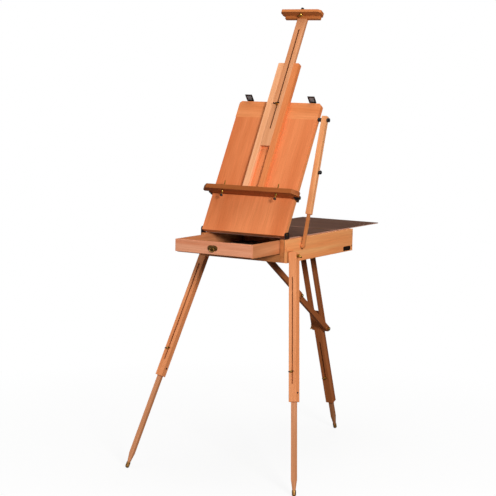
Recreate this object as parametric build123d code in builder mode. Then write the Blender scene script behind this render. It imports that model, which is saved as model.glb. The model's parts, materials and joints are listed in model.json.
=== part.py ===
from build123d import *
import math
import os

# Wooden sketch-box easel: a shallow box with a drawer and a palette on three
# folding telescopic legs, and a tilting lid that carries a sliding mast.
# X runs across the box (painter's right is +X), Y runs to the rear, Z is up.
# The design frame has its origin on the floor below the middle of the box front.

# ---------------------------------------------------------------- clearances
slip = 0.3            # gap between wooden faces that slide or swing past each other
pin_fit = 0.05        # radial running gap of a pin in its hole
side_gap = 1.0        # gap at each side of the lid between its two hinge plates
drawer_gap = 2.0      # gap at each side of the drawer

# ------------------------------------------------------------------- the box
box_top = 930.0       # height of the box rim above the floor
box_width = 404.0
box_depth = 556.0
box_height = 90.0
side_board = 12.0
left_board_start = 66.0   # the left side board starts behind the box front
inner_board = 18.0
rear_board_thickness = 12.0
front_rail_thickness = 12.0
deck_drop = 56.0      # upper face of the deck below the rim
deck_thickness = 4.0
edge_round = 1.5

# ------------------------------------------------- steel plates of the lid hinge
plate_thickness = 2.0
plate_front = 1.0
plate_length = 36.0
plate_drop = 86.0
plate_rise = 26.0

# ------------------------------------------------------------------- drawer
drawer_open = 214.0   # how far the drawer stands out at rest
drawer_length = 500.0
drawer_top_drop = 4.5
drawer_front_height = 47.5
drawer_front_thickness = 14.0
drawer_wall = 8.0
drawer_floor = 3.0
liner_thickness = 0.8
divider = 6.0
divider_height = 30.0
front_divider_x = -7.0
rear_divider_x = 91.0
cross_divider_y = 136.0   # drawer front's inner face to the cross divider
lock_radius = 11.0
lock_thickness = 1.5
lock_post_radius = 3.0
lock_post_length = 9.0
ring_radius = 9.0
ring_wire = 1.4
ring_drop = 12.6

# ------------------------------------------------------------------- palette
palette_front_y = 30.0
leaf_length = 400.0
leaf_thickness = 3.2
leaf_side_gap = 2.0
leaf_corner = 8.0
leaf_gap = 3.0        # each leaf edge to the palette hinge line
knuckle_radius = 1.9
knuckle_length = 40.0
knuckle_x = 110.0
flap_length = 16.0
flap_thickness = 0.8

# ---------------------------------------------------------------------- lid
lid_lean = 28.7       # degrees behind the vertical at rest
lid_pivot_y = 15.0
lid_pivot_rise = 18.0
lid_thickness = 20.0
lid_tail = 10.0       # lid length below the pivot
lid_overhang = 22.0   # reach of the closed lid behind the box
batten_height = 72.0
batten_chamfer = 9.0
panel_thickness = 5.0
panel_inset = 1.5
lid_rail = 20.0
lid_pin_radius = 3.0
lid_screw_head = 4.5
lid_screw_rise = 2.4
latch_x = 143.0
latch_width = 31.0
latch_height = 31.0
latch_thickness = 1.6
latch_border = 5.0
latch_rim = 1.4
latch_lug = 3.0
latch_lug_wall = 0.6
latch_base_inset = 3.0
latch_base_thickness = 1.5
latch_barrel = 2.0
latch_offset = 5.0
latch_tilt = 66.0
catch_radius = 3.0
catch_head = 1.5      # thickness of the head, and how much wider it is

# --------------------------------------------------------------------- mast
mast_width = 96.0
mast_bottom = 166.0
mast_top = 731.0
mast_floor_thickness = 4.0
mast_rail_width = 26.0
mast_rail_thickness = 15.5
mast_corner = 4.0
mast_clamp_setback = 18.0
groove_clearance = 0.5

inner_bottom = 359.0
inner_top = 938.0
inner_thickness = 15.0
inner_slot_low = 434.0
inner_slot_high = 888.0
slot_width = 6.0

head_rail_half = 80.0
head_rail_height = 13.0
head_half = 93.0
head_depth = 47.0
head_thickness = 12.0
head_corner = 13.0
head_corner_depth = 7.8
canvas_screw_offset = 32.0
canvas_screw_low = 16.0
canvas_screw_high = 14.0
canvas_knob_radius = 6.5

tray_overhang = 28.0
tray_depth = 34.0
tray_thickness = 19.0
tray_corner = 22.0
carriage_play = 3.0
carriage_height = 19.0
carriage_thickness = 17.5
strap = 4.0
strap_hook = 16.0
strap_height = 26.0
strap_knob_radius = 7.0
strap_knob_length = 9.0
tray_screw_x = 121.0
tray_screw_depth = 17.0
tray_screw_below = 24.0
tray_screw_above = 24.0
tray_nut_radius = 5.5
tray_nut_length = 6.0
tray_knob_radius = 6.0
tray_knob_length = 8.0

# -------------------------------------------------------------- lid side strut
strut_below_top = 67.0  # upper pivot below the top edge of the lid
strut_standoff = 2.0    # strut inner face to the box side, across
strut_width = 22.0
strut_depth = 20.0
strut_head = 15.0
strut_length = 380.0
strut_foot_y = 106.0
strut_foot_drop = 30.0
rod_side = 11.0
rod_bore = 11.6
rod_top = 195.0
rod_tail = 9.0
strut_bore_top = 60.0
strut_slot_top = 85.0
strut_slot_bottom = 335.0
strut_knob_station = 211.0
strut_bush_radius = 8.0
strut_knob_radius = 8.0
strut_knob_length = 9.0
strut_collar = 3.0
rod_boss_radius = 6.5
rod_screw_radius = 4.5
rod_screw_rise = 2.0

# ---------------------------------------------------------------- front legs
leg_pivot_y = (20.0, 105.0)     # right leg, left leg
leg_pivot_drop = 66.0
leg_pivot_standoff = 5.5
leg_foot_x = 367.0
leg_foot_y = (-197.0, -228.0)
leg_side = 30.0
leg_head = 16.0
leg_upper = 555.0
leg_bore_top = 50.0
leg_slot_top = 80.0
leg_slot_bottom = 488.0
leg_clamp_station = 441.0
leg_pin_radius = 4.0
wedge_half = 22.0
wedge_setback = 2.0     # middle of a wedge behind its leg pivot

bore_side = 17.6
runner_side = 17.0      # square telescopic lower leg
runner_overlap = 30.0   # lower leg above its clamp bolt
ferrule_radius = 6.0
tip_radius = 8.0
tip_length = 24.0
taper_length = 34.0
clamp_slot = 5.6
bolt_radius = 2.5
bolt_head_wider = 2.0   # bolt head beyond its shank, in radius
bolt_head_height = 3.0

wing_boss_radius = 5.0
wing_boss_length = 8.0
wing_collar_radius = 6.0
wing_span = 26.0
wing_width = 7.0
wing_height = 12.0
wing_thickness = 2.6

# ------------------------------------------------------------------ rear leg
fork_setback = 32.0     # fork pivot ahead of the rear of the box
fork_pivot_drop = 78.0
rear_foot_reach = 289.0  # foot behind the rear of the box
slat_thickness = 12.0
slat_depth = 26.0
rear_leg_width = 34.0
rear_leg_depth = 30.0
knee_station = 400.0
rear_leg_head = 75.0
rear_leg_end = 771.0
rear_slot_top = 463.0
rear_slot_bottom = 650.0
rear_clamp_station = 641.0
rear_runner_top = 625.0
rear_bore_margin = 40.0   # solid wood kept below the knee
cleat_half_length = 12.0
cleat_drop = 35.0
knee_pin_radius = 3.0

# --------------------------------------------------------------------- brace
brace_pivot_y = 89.0
brace_pivot_drop = 76.0
brace_thickness = 12.0
brace_depth = 24.0
brace_cleat_width = 16.0
brace_cleat_height = 28.0
brace_knob_length = 8.0
brace_bolt_head = 2.5

# --------------------------------------------------------------------- badge
badge_length = 64.0
badge_height = 18.0
badge_thickness = 0.8
badge_corner = 3.0
badge_setback = 51.0
badge_drop = 77.0

# ------------------------------------------------------------ derived values
half_width = box_width / 2
side_inner = half_width - side_board
board_outer = side_inner - plate_thickness
board_inner = board_outer - inner_board
rail_height = box_height - deck_drop - deck_thickness
box_bottom = box_top - box_height
lid_half = board_outer - side_gap
lid_length = box_depth + lid_overhang - lid_pivot_y
strut_station = lid_length - strut_below_top
mast_clamp_station = lid_length - mast_clamp_setback
tray_half = lid_half + tray_overhang
carriage_half = lid_half + carriage_play
fork_pivot_y = box_depth - fork_setback
rear_foot_y = box_depth + rear_foot_reach
badge_y = box_depth - badge_setback
lean = math.radians(lid_lean)
lid_pivot_z = box_top + lid_pivot_rise

# Lid plane: local X across, local Y up along the lid, local Z out of its front face.
lid_plane = Plane(
    origin=(0, lid_pivot_y, lid_pivot_z),
    x_dir=(1, 0, 0),
    z_dir=(0, -math.cos(lean), math.sin(lean)),
)
lid_front = lid_thickness / 2

# Front legs, both worked out on the +X side: the pivot axis is square to the leg and
# stays in the XZ plane. Local X runs out along that axis, local Z up the leg.
leg_pivot_x = half_width + leg_pivot_standoff
leg_pivot_z = box_top - leg_pivot_drop
leg_splay = math.atan2(leg_foot_x - leg_side / 2 - leg_pivot_x, leg_pivot_z - tip_radius)
leg_planes = []
for pivot_y, foot_y in zip(leg_pivot_y, leg_foot_y):
    leg_pivot = Vector(leg_pivot_x, pivot_y, leg_pivot_z)
    leg_foot = Vector(leg_foot_x - leg_side / 2, foot_y, tip_radius)
    leg_planes.append(
        Plane(
            origin=leg_pivot,
            x_dir=(math.cos(leg_splay), 0, math.sin(leg_splay)),
            z_dir=leg_pivot - leg_foot,
        )
    )

# Rear leg: local Z runs up the leg to the fork pivot.
fork_pivot = Vector(0, fork_pivot_y, box_top - fork_pivot_drop)
rear_foot = Vector(0, rear_foot_y, tip_radius)
rear_reach = (rear_foot - fork_pivot).length
rear_up = (fork_pivot - rear_foot).normalized()
rear_plane = Plane(origin=fork_pivot, x_dir=(1, 0, 0), z_dir=rear_up)
knee = fork_pivot - rear_up * knee_station
slat_inner = rear_leg_width / 2 + slip
slat_outer = slat_inner + slat_thickness

# Brace: straight at rest, from its pivot below the deck to the knee of the rear leg.
brace_pivot = Vector(0, brace_pivot_y, box_top - brace_pivot_drop)
brace_up = (brace_pivot - knee).normalized()
brace_length = (knee - brace_pivot).length
brace_plane = Plane(origin=brace_pivot, x_dir=(1, 0, 0), z_dir=brace_up)
# The halves differ by the reach left over when the fork lies level below the deck.
level_knee = Vector(0, fork_pivot.Y - knee_station, fork_pivot.Z)
brace_front_length = (brace_length + (level_knee - brace_pivot).length) / 2
brace_rear_x = slat_outer + brace_bolt_head + 2 * slip
brace_front_x = brace_rear_x + brace_thickness + slip

# Strut on the +X side: local Z runs up the strut to its pivot on the lid.
strut_top = Vector(
    0,
    lid_pivot_y + strut_station * math.sin(lean),
    lid_pivot_z + strut_station * math.cos(lean),
)
strut_foot = Vector(0, strut_foot_y, box_top - strut_foot_drop)
strut_reach = (strut_top - strut_foot).length
strut_plane = Plane(
    origin=strut_top, x_dir=(1, 0, 0), z_dir=(strut_top - strut_foot).normalized()
)
strut_x = half_width + strut_standoff
strut_mid = strut_x + strut_width / 2

pieces = {}


def across(y, z, x=0.0):
    """Plane square to X at a point, with local X along Y and local Y along Z."""
    return Plane(origin=(x, y, z), x_dir=(0, 1, 0), z_dir=(1, 0, 0))


def lid_cross(station, height=0.0, x=0.0):
    """Plane square to the lid's length at a station, facing up along the lid."""
    origin = lid_plane.from_local_coords((x, station, height))
    return Plane(origin=origin, x_dir=(1, 0, 0), z_dir=lid_plane.y_dir)


def turned(plane, origin, x_dir, z_dir):
    """Plane given by an origin and two directions in another plane's coordinates."""
    start = plane.from_local_coords((0, 0, 0))
    return Plane(
        origin=plane.from_local_coords(origin),
        x_dir=plane.from_local_coords(x_dir) - start,
        z_dir=plane.from_local_coords(z_dir) - start,
    )


def leg_axis_plane(side, pivot_y, station):
    """Plane square to a front leg's pivot axis, facing out, at a station along it."""
    outward = Vector(side * math.cos(leg_splay), 0, math.sin(leg_splay))
    pivot = Vector(side * leg_pivot_x, pivot_y, leg_pivot_z)
    return Plane(origin=pivot + outward * station, x_dir=(0, 1, 0), z_dir=outward)


def wing_bolt(plane, shank):
    """Thumb bolt: shank below the plane, wing nut above it, turning about local Z."""
    with BuildPart() as bolt:
        with BuildSketch(plane.offset(-shank)):
            Circle(bolt_radius)
        extrude(amount=shank + wing_boss_length)
        with BuildSketch(plane):
            Circle(wing_boss_radius)
        extrude(amount=wing_boss_length)
        with BuildSketch(turned(plane, (0, 0, 0), (1, 0, 0), (0, 1, 0))):
            # The local Y of this sketch points back along the shank.
            with BuildLine():
                Polyline(
                    (-wing_boss_radius / 2, 0),
                    (wing_boss_radius / 2, 0),
                    (wing_span / 2, -wing_height / 2),
                    (wing_span / 2, -wing_height),
                    (wing_span / 2 - 4, -wing_height),
                    (wing_boss_radius / 2, -wing_boss_length),
                    (-wing_boss_radius / 2, -wing_boss_length),
                    (4 - wing_span / 2, -wing_height),
                    (-wing_span / 2, -wing_height),
                    (-wing_span / 2, -wing_height / 2),
                    close=True,
                )
            make_face()
        extrude(amount=wing_thickness / 2, both=True)
    return bolt


# ============================================================ box: fixed boards
with BuildPart() as side_boards:
    with BuildSketch(Plane.XY.offset(box_bottom)):
        for side, start in ((1, 0), (-1, left_board_start)):
            with Locations((side * (half_width - side_board / 2), (start + box_depth) / 2)):
                Rectangle(side_board, box_depth - start)
    extrude(amount=box_height)
    fillet(side_boards.edges().filter_by(Axis.Y), edge_round)
pieces["side_boards"] = side_boards

with BuildPart() as inner_boards:
    with BuildSketch(Plane.XY.offset(box_bottom)):
        board_y = (box_depth - rear_board_thickness) / 2
        with Locations(
            (board_outer - inner_board / 2, board_y), (inner_board / 2 - board_outer, board_y)
        ):
            Rectangle(inner_board, box_depth - rear_board_thickness)
    extrude(amount=box_height)
pieces["inner_boards"] = inner_boards

with BuildPart() as rear_board:
    with BuildSketch(Plane.XY.offset(box_bottom)):
        with Locations((0, box_depth - rear_board_thickness / 2)):
            Rectangle(2 * side_inner, rear_board_thickness)
    extrude(amount=box_height)
pieces["rear_board"] = rear_board

with BuildPart() as front_rail:
    with BuildSketch(Plane.XY.offset(box_bottom)):
        with Locations((0, front_rail_thickness / 2)):
            Rectangle(2 * board_inner, front_rail_thickness)
    extrude(amount=rail_height)
    fillet(front_rail.edges().filter_by(Axis.X).group_by(Axis.Y)[0], edge_round)
pieces["front_rail"] = front_rail

with BuildPart() as box_deck:
    with BuildSketch(Plane.XY.offset(box_top - deck_drop - deck_thickness)):
        with Locations((0, (box_depth - rear_board_thickness) / 2)):
            Rectangle(2 * board_inner, box_depth - rear_board_thickness)
    extrude(amount=deck_thickness)
pieces["box_deck"] = box_deck

# Steel plates between inner and side boards, standing above the rim to carry the lid.
with BuildPart() as lid_plates:
    plate_low = box_top - plate_drop
    plate_high = box_top + plate_rise
    for plate_x in (board_outer, -side_inner):
        with BuildSketch(across(plate_front + plate_length / 2, (plate_low + plate_high) / 2, plate_x)):
            RectangleRounded(plate_length, plate_high - plate_low, plate_length / 4)
        extrude(amount=plate_thickness)
    with BuildSketch(across(lid_pivot_y, lid_pivot_z, -half_width)):
        Circle(lid_pin_radius)
    extrude(amount=box_width, mode=Mode.SUBTRACT)
pieces["lid_plates"] = lid_plates

with BuildPart() as lid_pivot_screws:
    for side in (1, -1):
        with BuildSketch(across(lid_pivot_y, lid_pivot_z, side * (lid_half - lid_rail / 2))):
            Circle(lid_pin_radius)
        extrude(amount=side * (side_inner - lid_half + lid_rail / 2))
        with BuildSketch(across(lid_pivot_y, lid_pivot_z, side * side_inner)):
            Circle(lid_screw_head)
        extrude(amount=side * lid_screw_rise)
pieces["lid_pivot_screws"] = lid_pivot_screws

# Wedges that splay the front legs: the outer face is square to the leg pivot.
with BuildPart() as leg_wedges:
    wedge_lean = math.tan(leg_splay) * wedge_half
    for side, pivot_y in zip((1, -1), leg_pivot_y):
        start = pivot_y - wedge_half + wedge_setback
        with BuildSketch(Plane(origin=(0, start, leg_pivot_z), x_dir=(1, 0, 0), z_dir=(0, 1, 0))):
            # In this sketch the local Y runs down.
            with BuildLine():
                Polyline(
                    (side * half_width, -wedge_half),
                    (side * (leg_pivot_x - wedge_lean), -wedge_half),
                    (side * (leg_pivot_x + wedge_lean), wedge_half),
                    (side * half_width, wedge_half),
                    close=True,
                )
            make_face()
        extrude(amount=2 * wedge_half)
        with BuildSketch(leg_axis_plane(side, pivot_y, -leg_side)):
            Circle(leg_pin_radius)
        extrude(amount=2 * leg_side, mode=Mode.SUBTRACT)
pieces["leg_wedges"] = leg_wedges

# Blocks below the deck that carry the rear fork and the brace.
with BuildPart() as underside_cleats:
    cleat_top = box_top - deck_drop - deck_thickness
    with BuildSketch(Plane.XY.offset(cleat_top)):
        with Locations((0, fork_pivot_y)):
            Rectangle(rear_leg_width, 2 * cleat_half_length)
    extrude(amount=-(cleat_drop - deck_thickness))
    brace_cleat_x = brace_front_x + brace_thickness + slip + brace_cleat_width / 2
    with BuildSketch(Plane.XY.offset(cleat_top)):
        with Locations((brace_cleat_x, brace_pivot_y)):
            Rectangle(brace_cleat_width, 2 * cleat_half_length)
    extrude(amount=-brace_cleat_height)
    with BuildSketch(across(fork_pivot.Y, fork_pivot.Z, -half_width / 2)):
        Circle(leg_pin_radius)
    extrude(amount=half_width, mode=Mode.SUBTRACT)
    with BuildSketch(across(brace_pivot.Y, brace_pivot.Z, 0)):
        Circle(knee_pin_radius)
    extrude(amount=half_width, mode=Mode.SUBTRACT)
pieces["underside_cleats"] = underside_cleats

# Bolts the legs, the fork and the brace turn on.
with BuildPart() as pivot_bolts:
    bolt_start = -leg_pivot_standoff / 2
    nut_start = leg_side + 2 * slip
    for side, pivot_y in zip((1, -1), leg_pivot_y):
        with BuildSketch(leg_axis_plane(side, pivot_y, bolt_start)):
            Circle(leg_pin_radius)
        extrude(amount=nut_start - bolt_start)
        with BuildSketch(leg_axis_plane(side, pivot_y, nut_start)):
            Circle(wing_collar_radius)
        extrude(amount=wing_boss_length)
        with BuildSketch(leg_axis_plane(side, pivot_y, nut_start + wing_boss_length / 2)):
            SlotOverall(wing_span, wing_width)
        extrude(amount=wing_thickness)
    fork_bolt_half = slat_outer + slip
    with BuildSketch(across(fork_pivot.Y, fork_pivot.Z, -fork_bolt_half)):
        Circle(leg_pin_radius)
    extrude(amount=2 * fork_bolt_half)
    for side in (1, -1):
        with BuildSketch(across(fork_pivot.Y, fork_pivot.Z, side * fork_bolt_half)):
            Circle(leg_pin_radius + bolt_head_wider)
        extrude(amount=side * bolt_head_height)
    brace_bolt_start = brace_front_x - slip
    with BuildSketch(across(brace_pivot.Y, brace_pivot.Z, brace_bolt_start)):
        Circle(knee_pin_radius)
    extrude(amount=brace_thickness + 2 * slip + brace_cleat_width)
    with BuildSketch(across(brace_pivot.Y, brace_pivot.Z, brace_bolt_start)):
        Circle(knee_pin_radius + bolt_head_wider)
    extrude(amount=-bolt_head_height)
pieces["pivot_bolts"] = pivot_bolts

with BuildPart() as badge_plate:
    with BuildSketch(across(badge_y, box_top - badge_drop, half_width)):
        RectangleRounded(badge_length, badge_height, badge_corner)
    extrude(amount=badge_thickness)
pieces["badge_plate"] = badge_plate

# Studs on the rear board that reach the latches when the lid is closed.
with BuildPart() as lid_catches:
    catch_z = lid_pivot_z - latch_height
    catch_post = lid_overhang + latch_offset - latch_thickness - catch_head
    catch_plane = Plane(origin=(0, box_depth, catch_z), x_dir=(1, 0, 0), z_dir=(0, 1, 0))
    with BuildSketch(catch_plane):
        with Locations((latch_x, 0), (-latch_x, 0)):
            Circle(catch_radius)
    extrude(amount=catch_post)
    with BuildSketch(catch_plane.offset(catch_post)):
        with Locations((latch_x, 0), (-latch_x, 0)):
            Circle(catch_radius + catch_head)
    extrude(amount=catch_head)
pieces["lid_catches"] = lid_catches

# ==================================================================== drawer
drawer_half = board_inner - drawer_gap
drawer_face_y = -drawer_open
drawer_top = box_top - drawer_top_drop
drawer_low = drawer_top - drawer_front_height
wall_low = box_top - deck_drop + slip
drawer_wall_height = drawer_top - wall_low
wall_start = drawer_face_y + drawer_front_thickness

with BuildPart() as drawer_front:
    with BuildSketch(Plane.XY.offset(drawer_low)):
        with Locations((0, drawer_face_y + drawer_front_thickness / 2)):
            Rectangle(2 * drawer_half, drawer_front_thickness)
    extrude(amount=drawer_front_height)
    fillet(drawer_front.edges().filter_by(Axis.X).group_by(Axis.Y)[0], edge_round)
pieces["drawer_front"] = drawer_front

with BuildPart() as drawer_box:
    wall_run = drawer_length - drawer_front_thickness
    with BuildSketch(Plane.XY.offset(wall_low)):
        for side in (1, -1):
            with Locations((side * (drawer_half - drawer_wall / 2), wall_start + wall_run / 2)):
                Rectangle(drawer_wall, wall_run)
        with Locations((0, wall_start + wall_run - drawer_wall / 2)):
            Rectangle(2 * drawer_half, drawer_wall)
    extrude(amount=drawer_wall_height)
    with BuildSketch(Plane.XY.offset(wall_low)):
        with Locations((0, wall_start + wall_run / 2)):
            Rectangle(2 * drawer_half, wall_run)
    extrude(amount=drawer_floor)
pieces["drawer_box"] = drawer_box

liner_low = wall_low + drawer_floor
bay_half = drawer_half - drawer_wall
bay_length = drawer_length - drawer_front_thickness - drawer_wall
with BuildPart() as drawer_liner:
    with BuildSketch(Plane.XY.offset(liner_low)):
        with Locations((0, wall_start + bay_length / 2)):
            Rectangle(2 * bay_half, bay_length)
    extrude(amount=liner_thickness)
pieces["drawer_liner"] = drawer_liner

with BuildPart() as drawer_dividers:
    with BuildSketch(Plane.XY.offset(liner_low + liner_thickness)):
        with Locations((front_divider_x, wall_start + cross_divider_y / 2)):
            Rectangle(divider, cross_divider_y)
        cross_width = bay_half - front_divider_x + divider / 2
        with Locations((bay_half - cross_width / 2, wall_start + cross_divider_y)):
            Rectangle(cross_width, divider)
        rear_run = bay_length - cross_divider_y
        with Locations((rear_divider_x, wall_start + cross_divider_y + rear_run / 2)):
            Rectangle(divider, rear_run)
    extrude(amount=divider_height)
pieces["drawer_dividers"] = drawer_dividers

lock_z = drawer_low + drawer_front_height / 2
lock_plane = Plane(origin=(0, drawer_face_y, lock_z), x_dir=(1, 0, 0), z_dir=(0, -1, 0))
with BuildPart() as drawer_lock:
    with BuildSketch(lock_plane):
        SlotOverall(4 * lock_radius, 2 * lock_radius)
    extrude(amount=lock_thickness)
    with BuildSketch(lock_plane.offset(lock_thickness)):
        Circle(lock_post_radius)
    extrude(amount=lock_post_length)
    with BuildSketch(across(drawer_face_y - lock_thickness - lock_post_length / 2, lock_z, -lock_post_radius)):
        Circle(ring_wire + pin_fit)
    extrude(amount=2 * lock_post_radius, mode=Mode.SUBTRACT)
pieces["drawer_lock"] = drawer_lock

# Bail through the lock post: a straight pin, two arms and a lower bar.
with BuildPart() as drawer_ring:
    ring_y = drawer_face_y - lock_thickness - lock_post_length / 2
    ring_plane = Plane(origin=(0, ring_y, lock_z), x_dir=(1, 0, 0), z_dir=(0, -1, 0))
    with BuildSketch(across(ring_y, lock_z, -ring_radius)):
        Circle(ring_wire)
    extrude(amount=2 * ring_radius)
    with BuildLine(ring_plane):
        ring_path = Polyline(
            (-ring_radius, ring_wire),
            (-ring_radius, -ring_drop),
            (ring_radius, -ring_drop),
            (ring_radius, ring_wire),
        )
    with BuildSketch(Plane(origin=ring_path @ 0, x_dir=(1, 0, 0), z_dir=ring_path % 0)):
        Circle(ring_wire)
    sweep(transition=Transition.RIGHT)
pieces["drawer_ring"] = drawer_ring

# =================================================================== palette
leaf_half = board_outer - leaf_side_gap
leaf_low = box_top + slip
palette_hinge_y = palette_front_y + leaf_length + leaf_gap
palette_hinge_z = leaf_low + leaf_thickness / 2

with BuildPart() as palette_front:
    with BuildSketch(Plane.XY.offset(leaf_low)):
        with Locations((0, palette_front_y + leaf_length / 2)):
            Rectangle(2 * leaf_half, leaf_length)
    extrude(amount=leaf_thickness)
    fillet(palette_front.edges().filter_by(Axis.Z).group_by(Axis.Y)[0], leaf_corner)
pieces["palette_front"] = palette_front

with BuildPart() as palette_rear:
    with BuildSketch(Plane.XY.offset(leaf_low)):
        with Locations((0, palette_hinge_y + leaf_gap + leaf_length / 2)):
            Rectangle(2 * leaf_half, leaf_length)
    extrude(amount=leaf_thickness)
    fillet(palette_rear.edges().filter_by(Axis.Z).group_by(Axis.Y)[-1], leaf_corner)
pieces["palette_rear"] = palette_rear

with BuildPart() as palette_hinges:
    for station in (knuckle_x, -knuckle_x):
        start = station - knuckle_length / 2
        with BuildSketch(across(palette_hinge_y, palette_hinge_z, start)):
            Circle(knuckle_radius)
        extrude(amount=knuckle_length)
        flap_low = leaf_low - flap_thickness
        with BuildSketch(Plane.XY.offset(flap_low)):
            with Locations((station, palette_hinge_y - flap_length / 2)):
                Rectangle(knuckle_length, flap_length)
        extrude(amount=flap_thickness)
        with BuildSketch(Plane.XY.offset(flap_low)):
            with Locations((station, palette_hinge_y - flap_thickness)):
                Rectangle(knuckle_length, 2 * flap_thickness)
        extrude(amount=palette_hinge_z - flap_low)
pieces["palette_hinges"] = palette_hinges

# ======================================================================= lid
with BuildPart() as lid_panel:
    with BuildSketch(lid_plane.offset(lid_front - panel_thickness)):
        panel_run = lid_length - batten_height + lid_tail
        with Locations((0, panel_run / 2 - lid_tail)):
            Rectangle(2 * (lid_half - panel_inset), panel_run)
    extrude(amount=panel_thickness)
pieces["lid_panel"] = lid_panel

with BuildPart() as lid_frame:
    with BuildSketch(lid_plane.offset(-lid_front)):
        for side in (1, -1):
            with Locations((side * (lid_half - lid_rail / 2), panel_run / 2 - lid_tail)):
                Rectangle(lid_rail, panel_run)
        with Locations((0, lid_rail / 2 - lid_tail)):
            Rectangle(2 * lid_half, lid_rail)
    extrude(amount=lid_thickness - panel_thickness)
    with BuildSketch(across(lid_pivot_y, lid_pivot_z, -half_width)):
        Circle(lid_pin_radius + pin_fit)
    extrude(amount=box_width, mode=Mode.SUBTRACT)
pieces["lid_frame"] = lid_frame

with BuildPart() as lid_top_batten:
    with BuildSketch(lid_plane.offset(-lid_front)):
        with Locations((0, lid_length - batten_height / 2)):
            batten = Rectangle(2 * lid_half, batten_height)
        chamfer(batten.vertices().group_by(Axis.Y)[-1], batten_chamfer)
    extrude(amount=lid_thickness)
    with BuildSketch(across(strut_top.Y, strut_top.Z, half_width)):
        Circle(lid_pin_radius)
    extrude(amount=lid_half - lid_rail - half_width, mode=Mode.SUBTRACT)
pieces["lid_top_batten"] = lid_top_batten

# Bolt at the lid's +X side: a bush against the lid, the strut's pin and a round knob.
with BuildPart() as strut_bolt:
    with BuildSketch(across(strut_top.Y, strut_top.Z, lid_half - lid_rail)):
        Circle(lid_pin_radius)
    extrude(amount=strut_x + strut_width + slip - lid_half + lid_rail)
    with BuildSketch(across(strut_top.Y, strut_top.Z, lid_half)):
        Circle(strut_bush_radius)
    extrude(amount=strut_x - slip - lid_half)
    with BuildSketch(across(strut_top.Y, strut_top.Z, strut_x + strut_width + slip)):
        Circle(strut_knob_radius)
    extrude(amount=strut_knob_length)
pieces["strut_bolt"] = strut_bolt

with BuildPart() as latch_bases:
    with BuildSketch(lid_cross(lid_length)):
        for side in (1, -1):
            with Locations((side * latch_x, 0)):
                Rectangle(latch_width - latch_base_inset, lid_thickness - 2 * latch_base_inset)
    extrude(amount=latch_base_thickness)
    for side in (1, -1):
        start = lid_plane.from_local_coords((side * latch_x - latch_width / 4, lid_length + latch_offset, 0))
        with BuildSketch(across(start.Y, start.Z, start.X)):
            Circle(latch_barrel)
        extrude(amount=latch_width / 2)
        with BuildSketch(lid_cross(lid_length + latch_base_thickness)):
            with Locations((side * latch_x, 0)):
                Rectangle(latch_width / 2, 2)
        extrude(amount=latch_offset - latch_base_thickness)
pieces["latch_bases"] = latch_bases

# Latch loops: a plate with a raised border, turning about the barrel on its base.
latch_axis = lid_plane.from_local_coords((0, lid_length + latch_offset, 0))
for name, side in (("latch_right", 1), ("latch_left", -1)):
    with BuildPart() as latch:
        tilt = math.radians(lid_lean - latch_tilt)
        latch_plane = Plane(
            origin=(side * latch_x, latch_axis.Y, latch_axis.Z),
            x_dir=(1, 0, 0),
            z_dir=(0, -math.cos(tilt), math.sin(tilt)),
        )
        plate_start = latch_barrel + 1.0
        with BuildSketch(latch_plane.offset(-latch_thickness / 2)):
            with Locations((0, plate_start + latch_height / 2)):
                Rectangle(latch_width, latch_height)
        extrude(amount=latch_thickness)
        with BuildSketch(latch_plane.offset(latch_thickness / 2)):
            with Locations((0, plate_start + latch_height / 2)):
                Rectangle(latch_width, latch_height)
                Rectangle(
                    latch_width - 2 * latch_border, latch_height - 2 * latch_border, mode=Mode.SUBTRACT
                )
        extrude(amount=latch_rim)
        # Side lugs that carry the loop on the barrel's ends.
        for lug in (1, -1):
            lug_start = side * latch_x + lug * (latch_width / 4 + slip)
            with BuildSketch(across(latch_axis.Y, latch_axis.Z, lug_start)):
                Circle(latch_barrel + latch_lug_wall)
            extrude(amount=lug * latch_lug)
        with BuildSketch(latch_plane.offset(-latch_thickness / 2)):
            for lug in (1, -1):
                with Locations((lug * (latch_width / 4 + slip + latch_lug / 2), plate_start / 2)):
                    Rectangle(latch_lug, plate_start)
        extrude(amount=latch_thickness)
    pieces[name] = latch

# ====================================================================== mast
mast_back = lid_front + groove_clearance
mast_floor_top = mast_back + mast_floor_thickness
groove_half = mast_width / 2 - mast_rail_width
mast_run = mast_top - mast_bottom
inner_low = mast_floor_top + slip
inner_front = inner_low + inner_thickness

with BuildPart() as mast_floor:
    with BuildSketch(lid_plane.offset(mast_back)):
        with Locations((0, mast_bottom + mast_run / 2)):
            board = Rectangle(mast_width, mast_run)
        fillet(board.vertices().group_by(Axis.Y)[-1], mast_corner)
    extrude(amount=mast_floor_thickness)
    with BuildSketch(lid_plane.offset(mast_back)):
        with Locations((0, mast_clamp_station)):
            Circle(bolt_radius + pin_fit)
    extrude(amount=mast_floor_thickness, mode=Mode.SUBTRACT)
pieces["mast_floor"] = mast_floor

with BuildPart() as mast_rails:
    with BuildSketch(lid_plane.offset(mast_floor_top)):
        with Locations((0, mast_bottom + mast_run / 2)):
            rails = Rectangle(mast_width, mast_run)
        fillet(rails.vertices().group_by(Axis.Y)[-1], mast_corner)
        with Locations((0, mast_bottom + mast_run / 2)):
            Rectangle(2 * groove_half, mast_run, mode=Mode.SUBTRACT)
    extrude(amount=mast_rail_thickness)
pieces["mast_rails"] = mast_rails

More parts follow.
